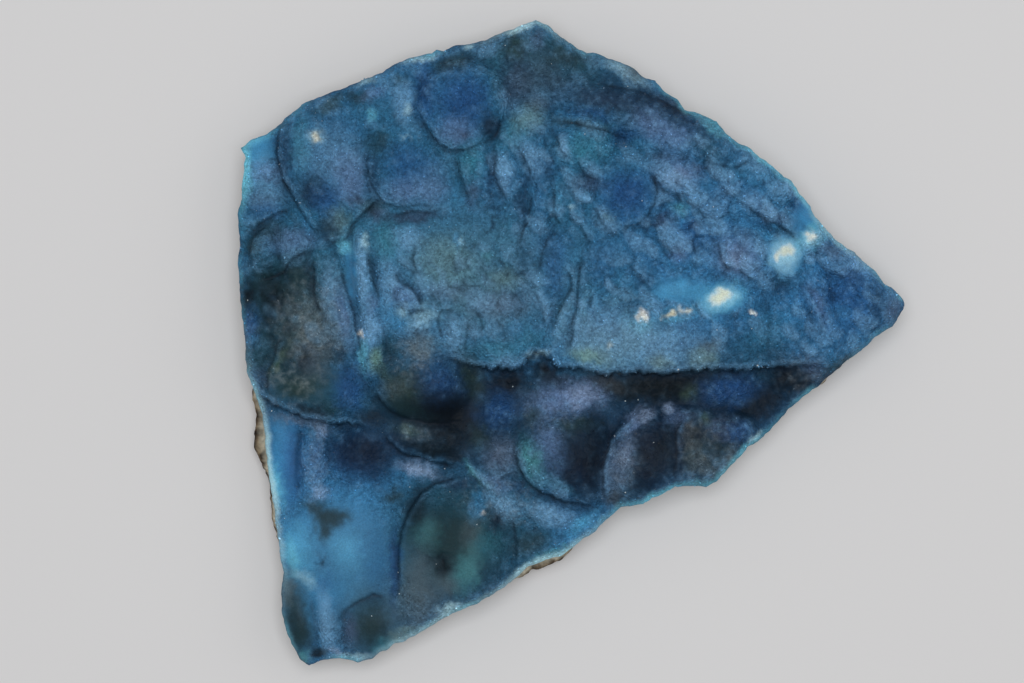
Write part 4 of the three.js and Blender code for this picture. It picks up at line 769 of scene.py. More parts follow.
    ("ink", -18.4, -10.4, 3.8, 2.4, 0.8), ("pine", -24.2, -10, 3.4, 1.2, 0.6, -15),
    ("ash", -26.2, -6.6, 1.6, 1.3, 0.4), ("smoke", -23.5, -13.2, 3.2, 1.8, 0.7, -14),
    ("sage", -24.3, -13, 1.2, 0.9, 0.4), ("coal", -20.5, -15.8, 5.4, 1.4, 0.85, -12),
    ("coal", -17.4, -13.6, 2.4, 2.8, 0.7),
    # the middle of the dark band under the ledge, whose coal and ink patches close under it are partly
    # the band's own dark colour and partly painted shadow of the ledge
    ("olive", -15, -4.6, 1.5, 3.0, 0.85, 20), ("olive", -13.4, -8.4, 1.3, 1.8, 0.65),
    ("ink", -9.5, -5.7, 2.2, 1.9, 0.9), ("royal", -11, -9.8, 3.0, 2.6, 0.75),
    ("coal", -2.4, -5.2, 3.2, 0.9, 0.8, -8), ("lilac", -1.0, -8.2, 5.2, 2.6, 0.85, 8),
    ("lilac", 3.4, -7.8, 2.4, 1.8, 0.6), ("mist", 1.6, -7.6, 2.4, 1.5, 0.4, 10),
    ("olive", -5.6, -11, 1.6, 1.2, 0.55), ("brown", 5.6, -5.8, 2.8, 1.1, 0.85, -20),
    ("coal", 14, -6.4, 8.0, 2.2, 0.95), ("moss", 17.5, -7.4, 1.2, 1.0, 0.5),
    ("royal", 23.6, -7.0, 4.2, 2.4, 0.95, 5), ("navy", 20, -9.6, 4, 0.9, 0.5),
    ("ink", 32, -4.8, 2.6, 1.8, 0.9, -20), ("ink", 29, -8.8, 3.4, 2.2, 0.8, 40),
    # the three dark domes
    ("navy", 1.6, -18, 4.0, 5.2, 0.95), ("coal", -0.5, -17, 6, 5, 0.2),
    ("jade", -6.0, -17.4, 1.5, 2.9, 0.8, 14), ("lilac", -3.2, -14.8, 2.0, 3.6, 0.55, 15),
    ("olive", 0.6, -12, 3.2, 1.0, 0.6), ("teal", -3, -20.7, 3.0, 1.0, 0.6, -25),
    ("ink", 3.4, -15, 1.6, 5.6, 0.5), ("navy", 11.8, -17.2, 3.8, 6.0, 1, -10),
    ("ink", 14.2, -14.4, 1.6, 3.0, 0.5, -10), ("coal", 9.5, -17, 4, 5.5, 0.3, -14),
    ("lilac", 7.0, -18.2, 1.7, 4.6, 0.45, -14), ("ash", 7.4, -18.6, 1.8, 4.2, 0.35, -14),
    ("mist", 8.0, -16.4, 1.3, 2.0, 0.2, -14), ("brown", 6.6, -23, 1.3, 1.0, 0.6),
    ("mist", 10.6, -10.6, 1.4, 0.9, 0.5, 30), ("lilac", 8.8, -12.1, 1.6, 0.8, 0.6, 45),
    ("mist", 14.3, -9.8, 0.8, 0.6, 0.6, 20), ("lilac", 16, -11.2, 1.8, 1.2, 0.6),
    ("smoke", 20, -15.4, 4.6, 4.0, 0.85), ("coal", 17.2, -15, 1.2, 3.6, 0.7),
    ("coal", 20, -15.4, 5, 4.4, 0.4), ("ash", 18.2, -17, 1.5, 2.2, 0.5),
    ("dusk", 22.4, -12.6, 2.4, 1.6, 0.6), ("royal", 24.6, -12.8, 1.8, 1.8, 0.7),
    ("coal", 25.4, -10.4, 2.6, 1.2, 0.7, 30), ("ash", 23.4, -17.0, 1.0, 1.6, 0.5, -20),
    ("ash", 20.4, -18.6, 3.0, 1.4, 0.4), ("navy", 15.6, -16, 0.8, 4.2, 0.75),
    ("moss", 20, -11, 1.0, 0.9, 0.5), ("jade", 20, -20.7, 2.2, 0.45, 0.6, 5),
    ("ice", 27.3, -14, 0.8, 0.5, 0.7, 30), ("brown", 17.4, -13.6, 1.4, 1.4, 0.5),
    # the frosted band below them
    ("mauve", -10.4, -16.8, 2.4, 2.6, 0.8), ("olive", -13.6, -14, 1.6, 1.8, 0.6),
    ("jade", -14, -19.6, 2.2, 0.5, 0.8, -48), ("frost", -9.8, -24.2, 2.4, 1.6, 0.65, -20),
    ("frost", -3, -25.4, 3.0, 1.5, 0.65, -15), ("sky", 1.6, -27, 2.6, 1.2, 0.6, 35),
    ("azure", -13.9, -24, 1.1, 2.2, 0.7, -20), ("cream", -13.5, -25.3, 0.4, 0.3, 0.6),
    ("lilac", -11.2, -20.8, 2.0, 1.0, 0.5, -20), ("deep", -7.6, -21.4, 1.6, 0.7, 0.65, -20),
    ("navy", -11.3, -26.6, 1.0, 1.7, 0.75, -35), ("mist", -22.6, -18.7, 2.8, 1.1, 0.6, -15),
    ("deep", -17.5, -20.7, 2.8, 1.2, 0.75, -15),
    # the dark lobes at the lower edge
    ("coal", -23, -25, 1.6, 3.6, 0.75, -15), ("jade", -21.2, -28.2, 2.0, 2.0, 0.55),
    ("pine", -19.6, -28.6, 3.2, 3.0, 0.4), ("coal", -19.1, -33, 1.0, 2.0, 0.7),
    ("ash", -14.8, -28, 1.4, 2.8, 0.5), ("jade", -15.4, -33.6, 1.8, 3.2, 0.65, -14),
    ("sea", -12.6, -29.6, 1.8, 2.2, 0.35), ("pine", -18, -30, 8, 8, 0.25),
    ("slate", -22.6, -36, 2.2, 5.6, 0.75), ("ash", -18.4, -35.6, 1.6, 1.4, 0.4),
    ("smoke", -6, -29.6, 2.8, 1.6, 0.8, 15), ("jade", -2.5, -31.2, 3.4, 0.6, 0.6, 18),
    ("ice", -18, -39.2, 1.6, 0.7, 0.6, 20), ("sea", -18, -40.6, 6.0, 0.7, 0.6, 27),
    ("sage", -25.4, -43.2, 2.6, 0.8, 0.5, 22),
    # the smooth tail
    ("azure", -43, -17, 1.9, 6.2, 0.7, -5), ("cyan", -43.9, -21.0, 0.8, 3.4, 0.5, 14),
    ("royal", -41.1, -18.0, 1.7, 5.4, 0.7, -3), ("mauve", -40, -11.6, 4.2, 0.6, 0.6, -15),
    ("lilac", -37.9, -17, 1.2, 5.0, 0.45, -4), ("mist", -37.2, -22.2, 1.2, 1.1, 0.5),
    ("mist", -37, -12.8, 0.9, 1.3, 0.45), ("royal", -31.8, -16.6, 5.0, 3.8, 0.95),
    ("navy", -30.6, -15.8, 5.8, 4.0, 0.9, -8), ("sky", -40.6, -30.8, 2.3, 4.0, 0.7, 8),
    ("cyan", -41.6, -31.6, 0.9, 2.6, 0.5, 14), ("ice", -39.6, -34.8, 1.8, 0.8, 0.4, -35),
    ("sky", -33.4, -30.6, 2.4, 2.6, 0.5), ("steel", -34, -31, 8, 8, 0.3),
    ("blue", -28.4, -33, 2.4, 5.2, 0.75), ("royal", -26.2, -33, 0.7, 5.2, 0.7),
    ("smoke", -38.5, -24.0, 1.5, 1.0, 0.8, -30), ("smoke", -36.4, -25.6, 2.0, 1.6, 0.95, -30),
    ("smoke", -34.5, -25.9, 1.6, 1.1, 0.85, 20), ("smoke", -36.7, -27.9, 1.0, 1.5, 0.85, 10),
    ("smoke", -26.3, -22.7, 1.3, 1.1, 0.75), ("royal", -36.5, -35.6, 1.4, 1.0, 0.3, 30),
    ("smoke", -41, -40.6, 2.2, 6.2, 0.95, 8), ("ash", -42.1, -36.6, 1.0, 2.4, 0.6),
    ("pine", -40.2, -43.4, 1.3, 2.4, 0.6), ("jade", -39.5, -46.8, 1.0, 0.7, 0.7),
    ("frost", -36.4, -41.2, 1.1, 4.0, 0.6, 8), ("coal", -37.4, -46, 1.3, 0.6, 0.85),
    ("mist", -34.8, -46, 1.4, 0.5, 0.6, -20), ("slate", -33, -43, 6, 4, 0.25),
    ("smoke", -29.8, -42, 3.9, 4.4, 0.9), ("dusk", -32.8, -42.6, 1.3, 2.0, 0.6),
    ("pine", -29.4, -42.2, 1.6, 2.6, 0.5), ("ice", -32, -46.6, 2.0, 0.6, 0.45),
    ("sea", -28, -45, 1.6, 0.9, 0.5, 25),
]

# where fine pale crystals dust the dark domes: place, two half widths, turn, and how many
DUSTED = [
    (-38.8, 3.0, 6.0, 8.0, 0, 0.4), (-41.5, -6.0, 4.5, 3.4, -20, 0.4), (-23.0, -2.6, 4.2, 3.6, 0, 0.4),
    (-22.5, -13.4, 4.0, 2.0, -14, 0.25), (19.6, -15.4, 5.6, 5.2, 0, 0.3), (8.4, -16.8, 3.0, 6.0, -14, 0.2),
    (-2.2, -10.0, 5.5, 4.0, 10, 0.2), (14, -7.5, 12, 2.4, 0, 0.1), (-38.2, -17.4, 2.2, 6.4, -4, 0.3),
    (-43.5, -10.2, 4.2, 2.2, -30, 0.2), (-9.6, -23.6, 8.0, 3.4, -16, 0.3), (34, -5, 4, 5, 30, 0.25),
]

# where the broken edge is pale: colour, place, reach along the edge, width, strength
RIMS = [
    ("ice", -45.4, -19.0, 9.0, 0.75, 0.85), ("cyan", -48.8, 26.5, 4.5, 0.9, 0.7),
    ("cyan", 30, 26, 9, 0.5, 0.4), ("ice", 39.5, 15, 5, 0.6, 0.35), ("cyan", 12, -22.4, 7, 0.6, 0.5),
    ("ice", -4.5, -33, 6, 0.6, 0.8), ("ice", -7, 47, 4, 0.6, 0.5), ("cyan", 26, -15.6, 3, 0.6, 0.5),
    ("ice", -22.5, -43, 6, 0.6, 0.5),
]

# where the crust is smooth and waxy, without frosting: place, and two half widths
WAXY = [
    (-35, -32, 9, 9), (-43.4, -17, 3.2, 7), (-41, -42, 3, 6), (-29, -42, 4, 5), (-19, -31, 7, 7),
    (16, 8, 4, 2), (31.5, 13, 2.6, 3), (22, 6.5, 3.4, 2.4), (-32.6, 10, 0.9, 5), (34.5, 18, 2, 3),
    (-46, 29, 2, 2), (-39, -6, 6, 3), (-21, -10, 8, 2),
]

# grains that look bright and white: pale grains in the stone, painted white as glints where they catch the
# light
SPECKS = [
    (-38.6, 19.6), (-46.7, 19.7), (-45.5, 18.5), (-37.8, 34.0), (-38.3, 34.8), (-36.0, 35.8),
    (-37.6, 32.9), (-36.8, 32.8), (-13.0, 43.0), (-9.8, 44.0), (-23.8, 21.9), (-21.0, 17.2),
    (-8.2, 21.9), (-8.4, 19.8), (3.3, 34.5), (8.3, 38.0), (9.6, 38.0), (-3.0, 41.3), (2.6, 31.2),
    (1.9, 30.8), (3.6, 30.1), (8.0, 29.0), (9.4, 24.2), (10.3, 21.0), (10.9, 20.2), (21.3, 2.0),
    (21.4, 1.5), (26.5, 2.2), (32.3, -0.9), (20.8, 20.1), (30.3, 20.8), (27.5, -3.2), (-8.5, -6.7),
    (-8.7, -6.4), (-8.8, -6.1), (8.0, -8.5), (9.2, -8.7), (9.9, -8.3), (12.6, -7.8), (8.0, -22.0),
    (7.5, -17.0), (15.7, -3.8), (15.4, -4.1), (-44.5, -10.0), (-41.8, -1.3), (-34.2, 4.9),
    (-25.7, -31.8), (-25.7, -34.0), (-26.8, -36.2), (-25.5, -37.2), (-23.6, -34.2), (-29.6, -40.4),
    (-19.4, -18.7), (-18.8, -18.6), (-18.2, -18.5), (-14.0, -26.8), (-13.7, -27.3), (-24.0, -21.3),
    (-16.2, -9.6), (-18.0, -22.0), (-9.2, -21.8), (-42.6, -26.0), (-41.6, -15.0), (12.1, -14.6),
    (10.9, -15.7), (-47.9, 6.4), (-28.0, -13.2), (-20.0, -32.6), (-2.4, -29.6),
]

# where small lobes overlap like scales: place, two half widths, and how clear they are
SCALY = [
    (20, 20, 16, 10, 1.0), (14, 6, 18, 9, 0.7), (31, 16, 9, 8, 0.9), (38, 5, 10, 9, 0.6),
    (-4, 24, 12, 9, 0.7), (-14, 7, 15, 9, 0.55), (10, 30, 14, 8, 0.5), (-12, 40, 22, 7, 0.35),
    (-30, 30, 16, 12, 0.25), (-38, 6, 11, 12, 0.35), (-6, -22, 10, 6, 0.5), (14, -16, 14, 8, 0.2),
]

# the discs and domes that stay smooth among them: place, and two half widths
SMOOTH = [
    (8, 22, 4.6, 4.6), (-15.6, 35, 5.2, 6.4), (22, 7, 4, 2.6), (32, 13.2, 2.4, 3), (15.5, 8, 3.4, 1.6),
]

# how softly lobes meet, with an offset that keeps their sum a number of a usual size, how round and
# how frayed the lips are, and how the rim falls off
BLEND = 0.16
BLEND_OFFSET = 60
LIP_ROUNDING = 0.55
LIP_FRAY = 0.2
RIM_ROUNDING = 1.3
RIM_WIDTH = 1.0

# where the highest lobes are flattened, and by how much they still rise
HIGHEST = 12.3
HIGHEST_SPAN = 0.45


def blur(sheet, reach):
    """A sheet softened over a reach in millimetres."""
    half = int(np.ceil(2.5 * reach / SHEET_STEP))
    weights = np.exp(-0.5 * (np.arange(-half, half + 1) * SHEET_STEP / reach) ** 2)
    weights /= weights.sum()
    for axis in (0, 1):
        padded = np.pad(sheet, [(half, half) if k == axis else (0, 0) for k in (0, 1)], "edge")
        span = sheet.shape[axis]
        sheet = sum(w * np.take(padded, range(k, k + span), axis) for k, w in enumerate(weights))
    return sheet


def turned(x, y, place, halves, turn=0):
    """Each place as shares of two half widths from a middle, along directions turned by degrees."""
    c, s = math.cos(math.radians(turn)), math.sin(math.radians(turn))
    x, y = x - place[0], y - place[1]
    return (x * c + y * s) / halves[0], (y * c - x * s) / halves[1]


def way_out(x, y, oval, low, high):
    """Share of the way out of an oval: 0 up to low of its half widths, and 1 past high of them."""
    cx, cy, a, b, *turn = oval
    return smooth(np.hypot(*turned(x, y, (cx, cy), (a, b), *turn)), low, high)


# where each place was before the crust grew a little unevenly, which makes its lines uneven
grown_x = sheet_x + 0.2 * noise(sheet_x, sheet_y, 2.8, 41) + 0.07 * noise(sheet_x, sheet_y, 1.1, 42)
grown_y = sheet_y + 0.2 * noise(sheet_x, sheet_y, 2.8, 43) + 0.07 * noise(sheet_x, sheet_y, 1.1, 44)


def ends_fade(along, share):
    """1 along a line, falling to 0 over a share of it at both ends."""
    return smooth(along, 0, share) * smooth(1 - along, 0, share)


def lip_distance(part, step, line):
    """How far each place is from a lip, which is more frayed where it is taller, and how far along."""
    distance, along = line_distance(grown_x[part], grown_y[part], line)
    fray = LIP_FRAY * min(step, 2.0) * noise(sheet_x[part], sheet_y[part], 0.9, 131)
    return distance + fray, along


def crust_relief():
    """Height of the crust over the sheet, before its finest grain."""
    x, y = grown_x, grown_y
    total, weights = 0, 0
    for px, py, height in GROUND:
        weight = np.exp(-((x - px) ** 2 + (y - py) ** 2) / (2 * GROUND_REACH ** 2)) + 1e-9
        total, weights = total + weight * height, weights + weight
    ground = total / weights + 0.3 * noise(x, y, 5, 1)
    blended = np.exp(ground / BLEND - BLEND_OFFSET)
    for cx, cy, a, b, turn, crown, drop, flatness in LOBES:
        part = near([(cx, cy)], 2.4 * max(a, b))
        u, v = turned(x[part], y[part], (cx, cy), (a, b), turn)
        height = crown - drop * np.hypot(u, v) ** flatness
        blended[part] += np.exp(np.clip(height / BLEND - BLEND_OFFSET, -80, 80))
    height = BLEND * (np.log(blended) + BLEND_OFFSET)
    for step, fade, _, _, line in LIPS:
        part = near(line, 4 * fade)
        distance, along = lip_distance(part, step, line)
        over = (1 - np.clip(distance / LIP_ROUNDING, 0, 1)) ** 2
        under = np.exp(np.minimum(distance, 0) / fade)
        height[part] -= step * np.where(distance > 0, over, under) * ends_fade(along, 0.16)
    return height


# the small lobes like scales, which overlap towards the lower left
SCALE_GAP = 3.4
SCALE_SIZE = 2.7
SCALE_RISE = 0.75
SCALE_LEAN = (0.6, 0.8)
WRINKLE_DEPTH = 0.15
WRINKLE_SHARPNESS = 0.09


def small_lobes():
    """Relief of the small lobes that overlap like scales, and how pale each one is."""
    ragged = 0.35 * noise(sheet_x, sheet_y, 1.5, 101) + 0.12 * noise(sheet_x, sheet_y, 0.6, 102)
    x, y = grown_x + ragged, grown_y - ragged
    rise, paleness = np.zeros(x.shape), np.full(x.shape, 0.3)
    dice = np.random.default_rng(11)
    for cx in np.arange(-52, 52, SCALE_GAP):
        for cy in np.arange(-52, 52, SCALE_GAP):
            jump_x, jump_y, size, crown, turn = dice.random(5)
            place = (cx + SCALE_GAP * (jump_x - 0.5), cy + SCALE_GAP * (jump_y - 0.5))
            reach = SCALE_SIZE * (0.55 + 0.9 * size)
            part = near([place], 1.6 * reach)
            if x[part].size == 0:
                continue
            u, v = turned(x[part], y[part], place, (0.75 * reach, reach), 60 * turn - 30)
            forward = ((place[0] - x[part]) * SCALE_LEAN[0] + (place[1] - y[part]) * SCALE_LEAN[1]) / reach
            lobe = SCALE_RISE * ((0.4 + 0.6 * crown) * (1 - np.hypot(u, v) ** 3.5) + 0.3 * forward)
            paleness[part] = np.where(lobe > rise[part], turn * smooth(forward, -0.7, 0.4), paleness[part])
            rise[part] = np.maximum(rise[part], lobe)
    return rise, paleness


def wrinkles(scale, seed):
    """Share of each place in thin curved lines."""
    wave = noise(sheet_x, sheet_y, scale, seed) + 0.4 * noise(sheet_x, sheet_y, scale / 2, seed + 1)
    return np.exp(-(wave / WRINKLE_SHARPNESS) ** 2)


# where it is frosted and where it is scaly
sheet_depth = depth_sheet(edge[::2])
frosted = np.ones(sheet_x.shape)
for oval in WAXY:
    frosted *= way_out(grown_x, grown_y, oval, 0.7, 1.25)
scaly = np.zeros(sheet_x.shape)
for *oval, strength in SCALY:
    scaly = np.maximum(scaly, strength * (1 - way_out(grown_x, grown_y, oval, 0.6, 1.2)))
for oval in SMOOTH:
    scaly *= way_out(grown_x, grown_y, oval, 0.8, 1.15)

# the relief: lobes, scales, wrinkles, fine waves, a worn rim, and flattened tops
relief = crust_relief()
scales, paleness = small_lobes()
relief += scaly * (scales - 0.2)
climb_y, climb_x = np.gradient(scales, SHEET_STEP)
scale_face = scaly * smooth(climb_x * SCALE_LEAN[0] + climb_y * SCALE_LEAN[1], 0.2, 1.0)
scale_lip = np.roll(blur(scale_face, 0.3), (3, 2), (0, 1))
wrinkled = frosted * (0.15 + 0.6 * scaly) * np.maximum(wrinkles(2.8, 105), 0.7 * wrinkles(1.5, 107))
relief -= WRINKLE_DEPTH * wrinkled
relief += (0.04 + 0.06 * frosted) * layered(sheet_x, sheet_y, 1.6, 51)
relief += 0.06 * frosted * noise(sheet_x, sheet_y, 0.7, 55)
relief -= RIM_ROUNDING * np.exp(-np.maximum(sheet_depth, 0) / RIM_WIDTH)
over = np.maximum(relief - HIGHEST, 0)
relief -= over - HIGHEST_SPAN * np.tanh(over / HIGHEST_SPAN)
crest = relief - blur(relief, 0.45)

# how the mineral's own colours differ from how they look in the light: brighter by a gain, further
# from a middle tone, and warmer by a cast, with less of both in pale stone
GAIN = 1.17
MIDDLE = 0.092
DARK_CONTRAST = 0.55
PALE_CONTRAST = 0.15
DARKEST = 0.011
CAST = np.array([1.58, 1.27, 1.15])
PALE_CAST = np.array([1.18, 1.14, 1.0])
LUMINANCE = np.array([0.21, 0.72, 0.07])

# the places that colours follow, so that their borders are ragged
ragged_x = sheet_x + 0.8 * layered(sheet_x, sheet_y, 2.6, 61) + 0.45 * noise(sheet_x, sheet_y, 0.7, 65)
ragged_y = sheet_y + 0.8 * layered(sheet_x, sheet_y, 2.6, 66) + 0.45 * noise(sheet_x, sheet_y, 0.7, 70)
tint = np.ones((*sheet_x.shape, 3)) * colour(STONE["blue"])
dusted = np.zeros(sheet_x.shape)
everywhere = near([SHEET_LOW, -SHEET_LOW], 5)


def lay(name, share, part=everywhere):
    """Lays one of the stone's colours over a part of the sheet, by each place's share."""
    tint[part] += (colour(STONE[name]) - tint[part]) * share[..., None]


# broad tones and patches
lay("teal", 0.5 * smooth(noise(sheet_x, sheet_y, 14, 71), -0.4, 0.5))
for name, cx, cy, a, b, strength, *turn in PATCHES:
    part = near([(cx, cy)], 1.8 * max(a, b) + 1.2)
    solid = 0.3 if name in ("cream", "tan", "white") else 0.1
    away = way_out(ragged_x[part], ragged_y[part], (cx, cy, a, b, *turn), solid, 1.85 - solid)
    lay(name, strength * (1 - away), part)

# pale and dark strands, most of all where it is frosted or deep
strands = layered(sheet_x, sheet_y, 1.8, 73)
frosted *= 0.3 + 0.7 * smooth(blur(tint.mean(2), 0.5), 0.015, 0.07)
deep_tone = 1 - smooth(tint.mean(2), 0.25, 0.5)
lay("frost", 0.17 * frosted * smooth(strands, 0.05, 0.7))
lay("navy", 0.18 * deep_tone * smooth(-strands, 0.05, 0.7))

# fine pale crystals in slanting drifts
slant_x = 0.8 * ragged_x + 0.6 * ragged_y
slant_y = 0.8 * ragged_y - 0.6 * ragged_x
flecks = noise(slant_x, slant_y, 0.5, 141) + 0.7 * noise(slant_x, slant_y, 1.1, 142)
flecks += 0.5 * noise(slant_x, slant_y, 2.9, 143)
for *oval, strength in DUSTED:
    part = near([oval[:2]], 1.6 * max(oval[2:4]))
    away = way_out(ragged_x[part], ragged_y[part], oval, 0.4, 1.4)
    dusting = strength * (1 - away) * smooth(flecks[part], -0.5, 1.3)
    lay("dust", 0.7 * dusting, part)
    dusted[part] = np.maximum(dusted[part], np.minimum(1.8 * dusting, 1))

# scales with pale frosted lips, darker blue ones and pale crests, and painted shade: dark on the faces
# where the scales step down, in the hollows and in the wrinkles
lay("frost", 0.5 * frosted * scaly * smooth(paleness, 0.4, 0.75))
lay("royal", 0.2 * scaly * smooth(-paleness, -0.2, -0.05))
lay("frost", 0.22 * frosted * smooth(crest, 0.02, 0.12))
lay("frost", 0.5 * frosted * scale_lip)
# painted shade: dark on the step faces of the scales, in the hollows and in the wrinkles
lay("navy", 0.5 * deep_tone * scale_face)
lay("navy", 0.28 * deep_tone * smooth(-crest, 0.02, 0.15))
lay("navy", 0.4 * deep_tone * wrinkled)

# a pale frosted edge on each lip, and painted shade under it: a darker foot and a dark line in the crease
for step, fade, frosting, shade, line in LIPS:
    part = near(line, 4)
    distance, along = lip_distance(part, step, line)
    broken = 0.75 + 0.5 * noise(sheet_x[part], sheet_y[part], 1.7, 74)
    uneven = ends_fade(along, 0.2) * broken
    width = 1.6 + 0.9 * noise(sheet_x[part], sheet_y[part], 1.5, 75)
    lit = smooth(distance, 0.0, 0.4) * (1 - smooth(distance, 0.3, width))
    lay("frost", np.clip(0.9 * (frosting - 0.25) * uneven * lit, 0, 1), part)
    # painted shade on the low side, at the foot of the lip
    soft = smooth(0.2 - distance, 0, 0.3) * (1 - smooth(-distance, 0.0, 2.0))
    lay("navy", np.clip(0.3 * shade * uneven * soft, 0, 1), part)
    # painted shade: a thin dark line in the crease
    crease = np.exp(-(distance / 0.17) ** 2)
    lay("ink", np.clip(0.85 * shade * uneven * crease, 0, 1), part)

# pale stretches of the broken rim
rim = 1 - smooth(sheet_depth + 0.5 * strands, 0.0, 0.9)
lay("cyan", rim * np.clip(0.1 + 0.6 * noise(sheet_x, sheet_y, 6, 76), 0, 1))
for name, cx, cy, reach, width, strength in RIMS:
    part = near([(cx, cy)], 2.4 * reach)
    along = np.exp(-((sheet_x[part] - cx) ** 2 + (sheet_y[part] - cy) ** 2) / (2 * reach ** 2))
    across = 1 - smooth(sheet_depth[part] + 0.4 * strands[part], 0.1, width + 0.5)
    lay(name, strength * along * across, part)

# the mineral's own depth and warmth
lightness = tint @ LUMINANCE
ratio = np.maximum(lightness, DARKEST) / MIDDLE
deeper = np.where(ratio < 1, ratio ** DARK_CONTRAST, ratio ** PALE_CONTRAST)
pale = smooth(lightness, 0.3, 0.6)
tint *= (deeper + (1 - deeper) * pale)[..., None] * (CAST + (PALE_CAST - CAST) * pale[..., None])

# fibres that run out from the middle of each lobe, then sugary grains and cloudy mottles
fibres = np.zeros(sheet_x.shape)
for cx, cy, a, b, turn, *_ in LOBES:
    part = near([(cx, cy)], max(a, b))
    u, v = turned(grown_x[part], grown_y[part], (cx, cy), (a, b), turn)
    angle = np.arctan2(v, u)
    out = np.hypot(u, v)
    streak = noise(7 * np.cos(angle) + cx, 7 * np.sin(angle) + out, 0.5, 121)
    fibres[part] += streak * smooth(out, 0.15, 0.5) * (1 - smooth(out, 0.8, 1.1))
tint *= (1 + 0.09 * fibres)[..., None]
sugar = noise(sheet_x, sheet_y, 0.6, 77) + 0.5 * noise(sheet_x, sheet_y, 1.2, 78)
tint *= (1 + (0.02 + 0.08 * frosted) * sugar)[..., None]
mottle = 1 + 0.10 * layered(sheet_x, sheet_y, 1.6, 81) + 0.10 * noise(sheet_x, sheet_y, 4.0, 85)
tint *= GAIN * mottle[..., None]

CRUST_LEVELS = 14
CRUST_INSET = 0.32
CRUST_SPACING = 0.29
CRUST_FOOT_SPACING = 2.0
crust_rings = []
for level in range(CRUST_LEVELS):
    share = level / (CRUST_LEVELS - 1)
    top, bottom = read_sheet(relief, *edge.T), seam(*edge.T)
    height = top + (bottom - top) * share
    x, y = edge.T
    rough = 0.28 * noise(x + 2 * height, y - 2 * height, 2.2, 91) + 0.14 * noise(x, y + 4 * height, 0.8, 92)
    shift = (rough - CRUST_INSET) * smooth(share, 0, 0.12)
    crust_rings.append(np.c_[edge + edge_out * shift[:, None], height])
crust, crust_points = plate_mesh(
    "hemimorphite_crust_body", crust_rings, lambda x, y: read_sheet(relief, x, y), CRUST_SPACING,
    seam, CRUST_FOOT_SPACING,
)

# the broken wall shows growth bands, and a pale line at the seam
WALL_HEIGHT = 5.5
WALL_CREAM = "cfd3c4"
x, y, z = crust_points.T
crust_tint = read_sheet(tint, x, y)
wall_share = np.clip((read_sheet(relief, x, y) - z) / WALL_HEIGHT, 0, 1)
is_wall = np.arange(len(x)) < CRUST_LEVELS * len(edge)
growth = smooth(np.sin(4.5 * z + 3 * noise(x, y, 7, 95)), -0.6, 0.6)[:, None]
wall_tint = GAIN * (colour(STONE["sea"]) + (colour(STONE["blue"]) - colour(STONE["sea"])) * growth)
near_seam = 1 - smooth(z - seam(x, y), 0.1, 0.9)
wall_tint = mixed(wall_tint, GAIN * colour(WALL_CREAM), 0.7 * near_seam)
crust_tint = mixed(crust_tint, wall_tint, is_wall * smooth(wall_share, 0.03, 0.3))
paint(crust, "tint", crust_tint)
brightness = crust_tint.mean(1)
crust_frost = read_sheet(frosted, x, y) * (0.4 + 0.6 * smooth(brightness, 0.01, 0.12)) * ~is_wall
crust_dust = read_sheet(dusted, x, y) * ~is_wall
shares = {"frost": crust_frost, "dust": crust_dust, "blades": np.maximum(crust_frost, crust_dust)}
for layer_name, values in shares.items():
    layer = crust.data.attributes.new(layer_name, "FLOAT", "POINT")
    layer.data.foreach_set("value", values.astype(np.float32))


# grains and bumps of the frosting, in waves to a metre, and how deep the bumps are
GRAIN_SCALE = 3200.0
FINE_SCALE = 4200.0
PEEL_SCALE = 2300.0
PEEL_DEPTH = 0.6 * MM


def crust_finish():
    """Blue stone in its vertices' tint, with fine grains that show more where it is frosted."""
    material, tree = new_finish("frosted_blue_crust")
    where = add(tree, "ShaderNodeTexCoord").outputs["Object"]
    tint_node = add(tree, "ShaderNodeVertexColor", layer_name="tint").outputs["Color"]
    frost = kept(tree, "frost")
    grains = add(tree, "ShaderNodeTexVoronoi", Vector=where, Scale=GRAIN_SCALE).outputs["Color"]
    one_grain = add(tree, "ShaderNodeSeparateColor", Color=grains).outputs["Red"]
    grain_light = stretched(tree, one_grain, 0.0, 1.0, 0.80, 1.30)
    frosted_light = add(tree, "ShaderNodeMix", Factor=frost, A=1.0, B=grain_light).outputs["Result"]
    fine_light = stretched(tree, cloudy(tree, FINE_SCALE, 3.0), 0.3, 0.7, 0.86, 1.16)
    light = product(tree, frosted_light, fine_light)
    depth = stretched(tree, frost, 0.0, 1.0, 0.15, 1.0)
    peel = cloudy(tree, PEEL_SCALE, 2.5)
    bump = add(tree, "ShaderNodeBump", Height=peel, Strength=depth, Distance=PEEL_DEPTH)
    waxy = {"Subsurface Weight": 0.08, "Subsurface Radius": (0.5, 0.9, 1.4), "Subsurface Scale": 0.4 * MM}
    surface(tree, scaled(tree, tint_node, light), 0.08, waxy, Roughness=0.45, Normal=bump.outputs["Normal"])
    return material


crust.data.materials.append(crust_finish())
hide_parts("hemimorphite_crust")
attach(crust, "root")


# The druse
# Tiny blades of the same blue mineral, which grew last and stand on the crust like frost. A few of
# them are painted lighter at random, as painted glints where they would face the light.
BLADE_WIDTH = 0.26
BLADE_HEIGHT = 0.30
BLADE_GAP = 0.40
BLADES_MOST = 2.6e6  # a square metre, where the crust is frosted most
BLADE_LEAN = 0.7
DUST_COLOUR = (0.30, 0.36, 0.38, 1)

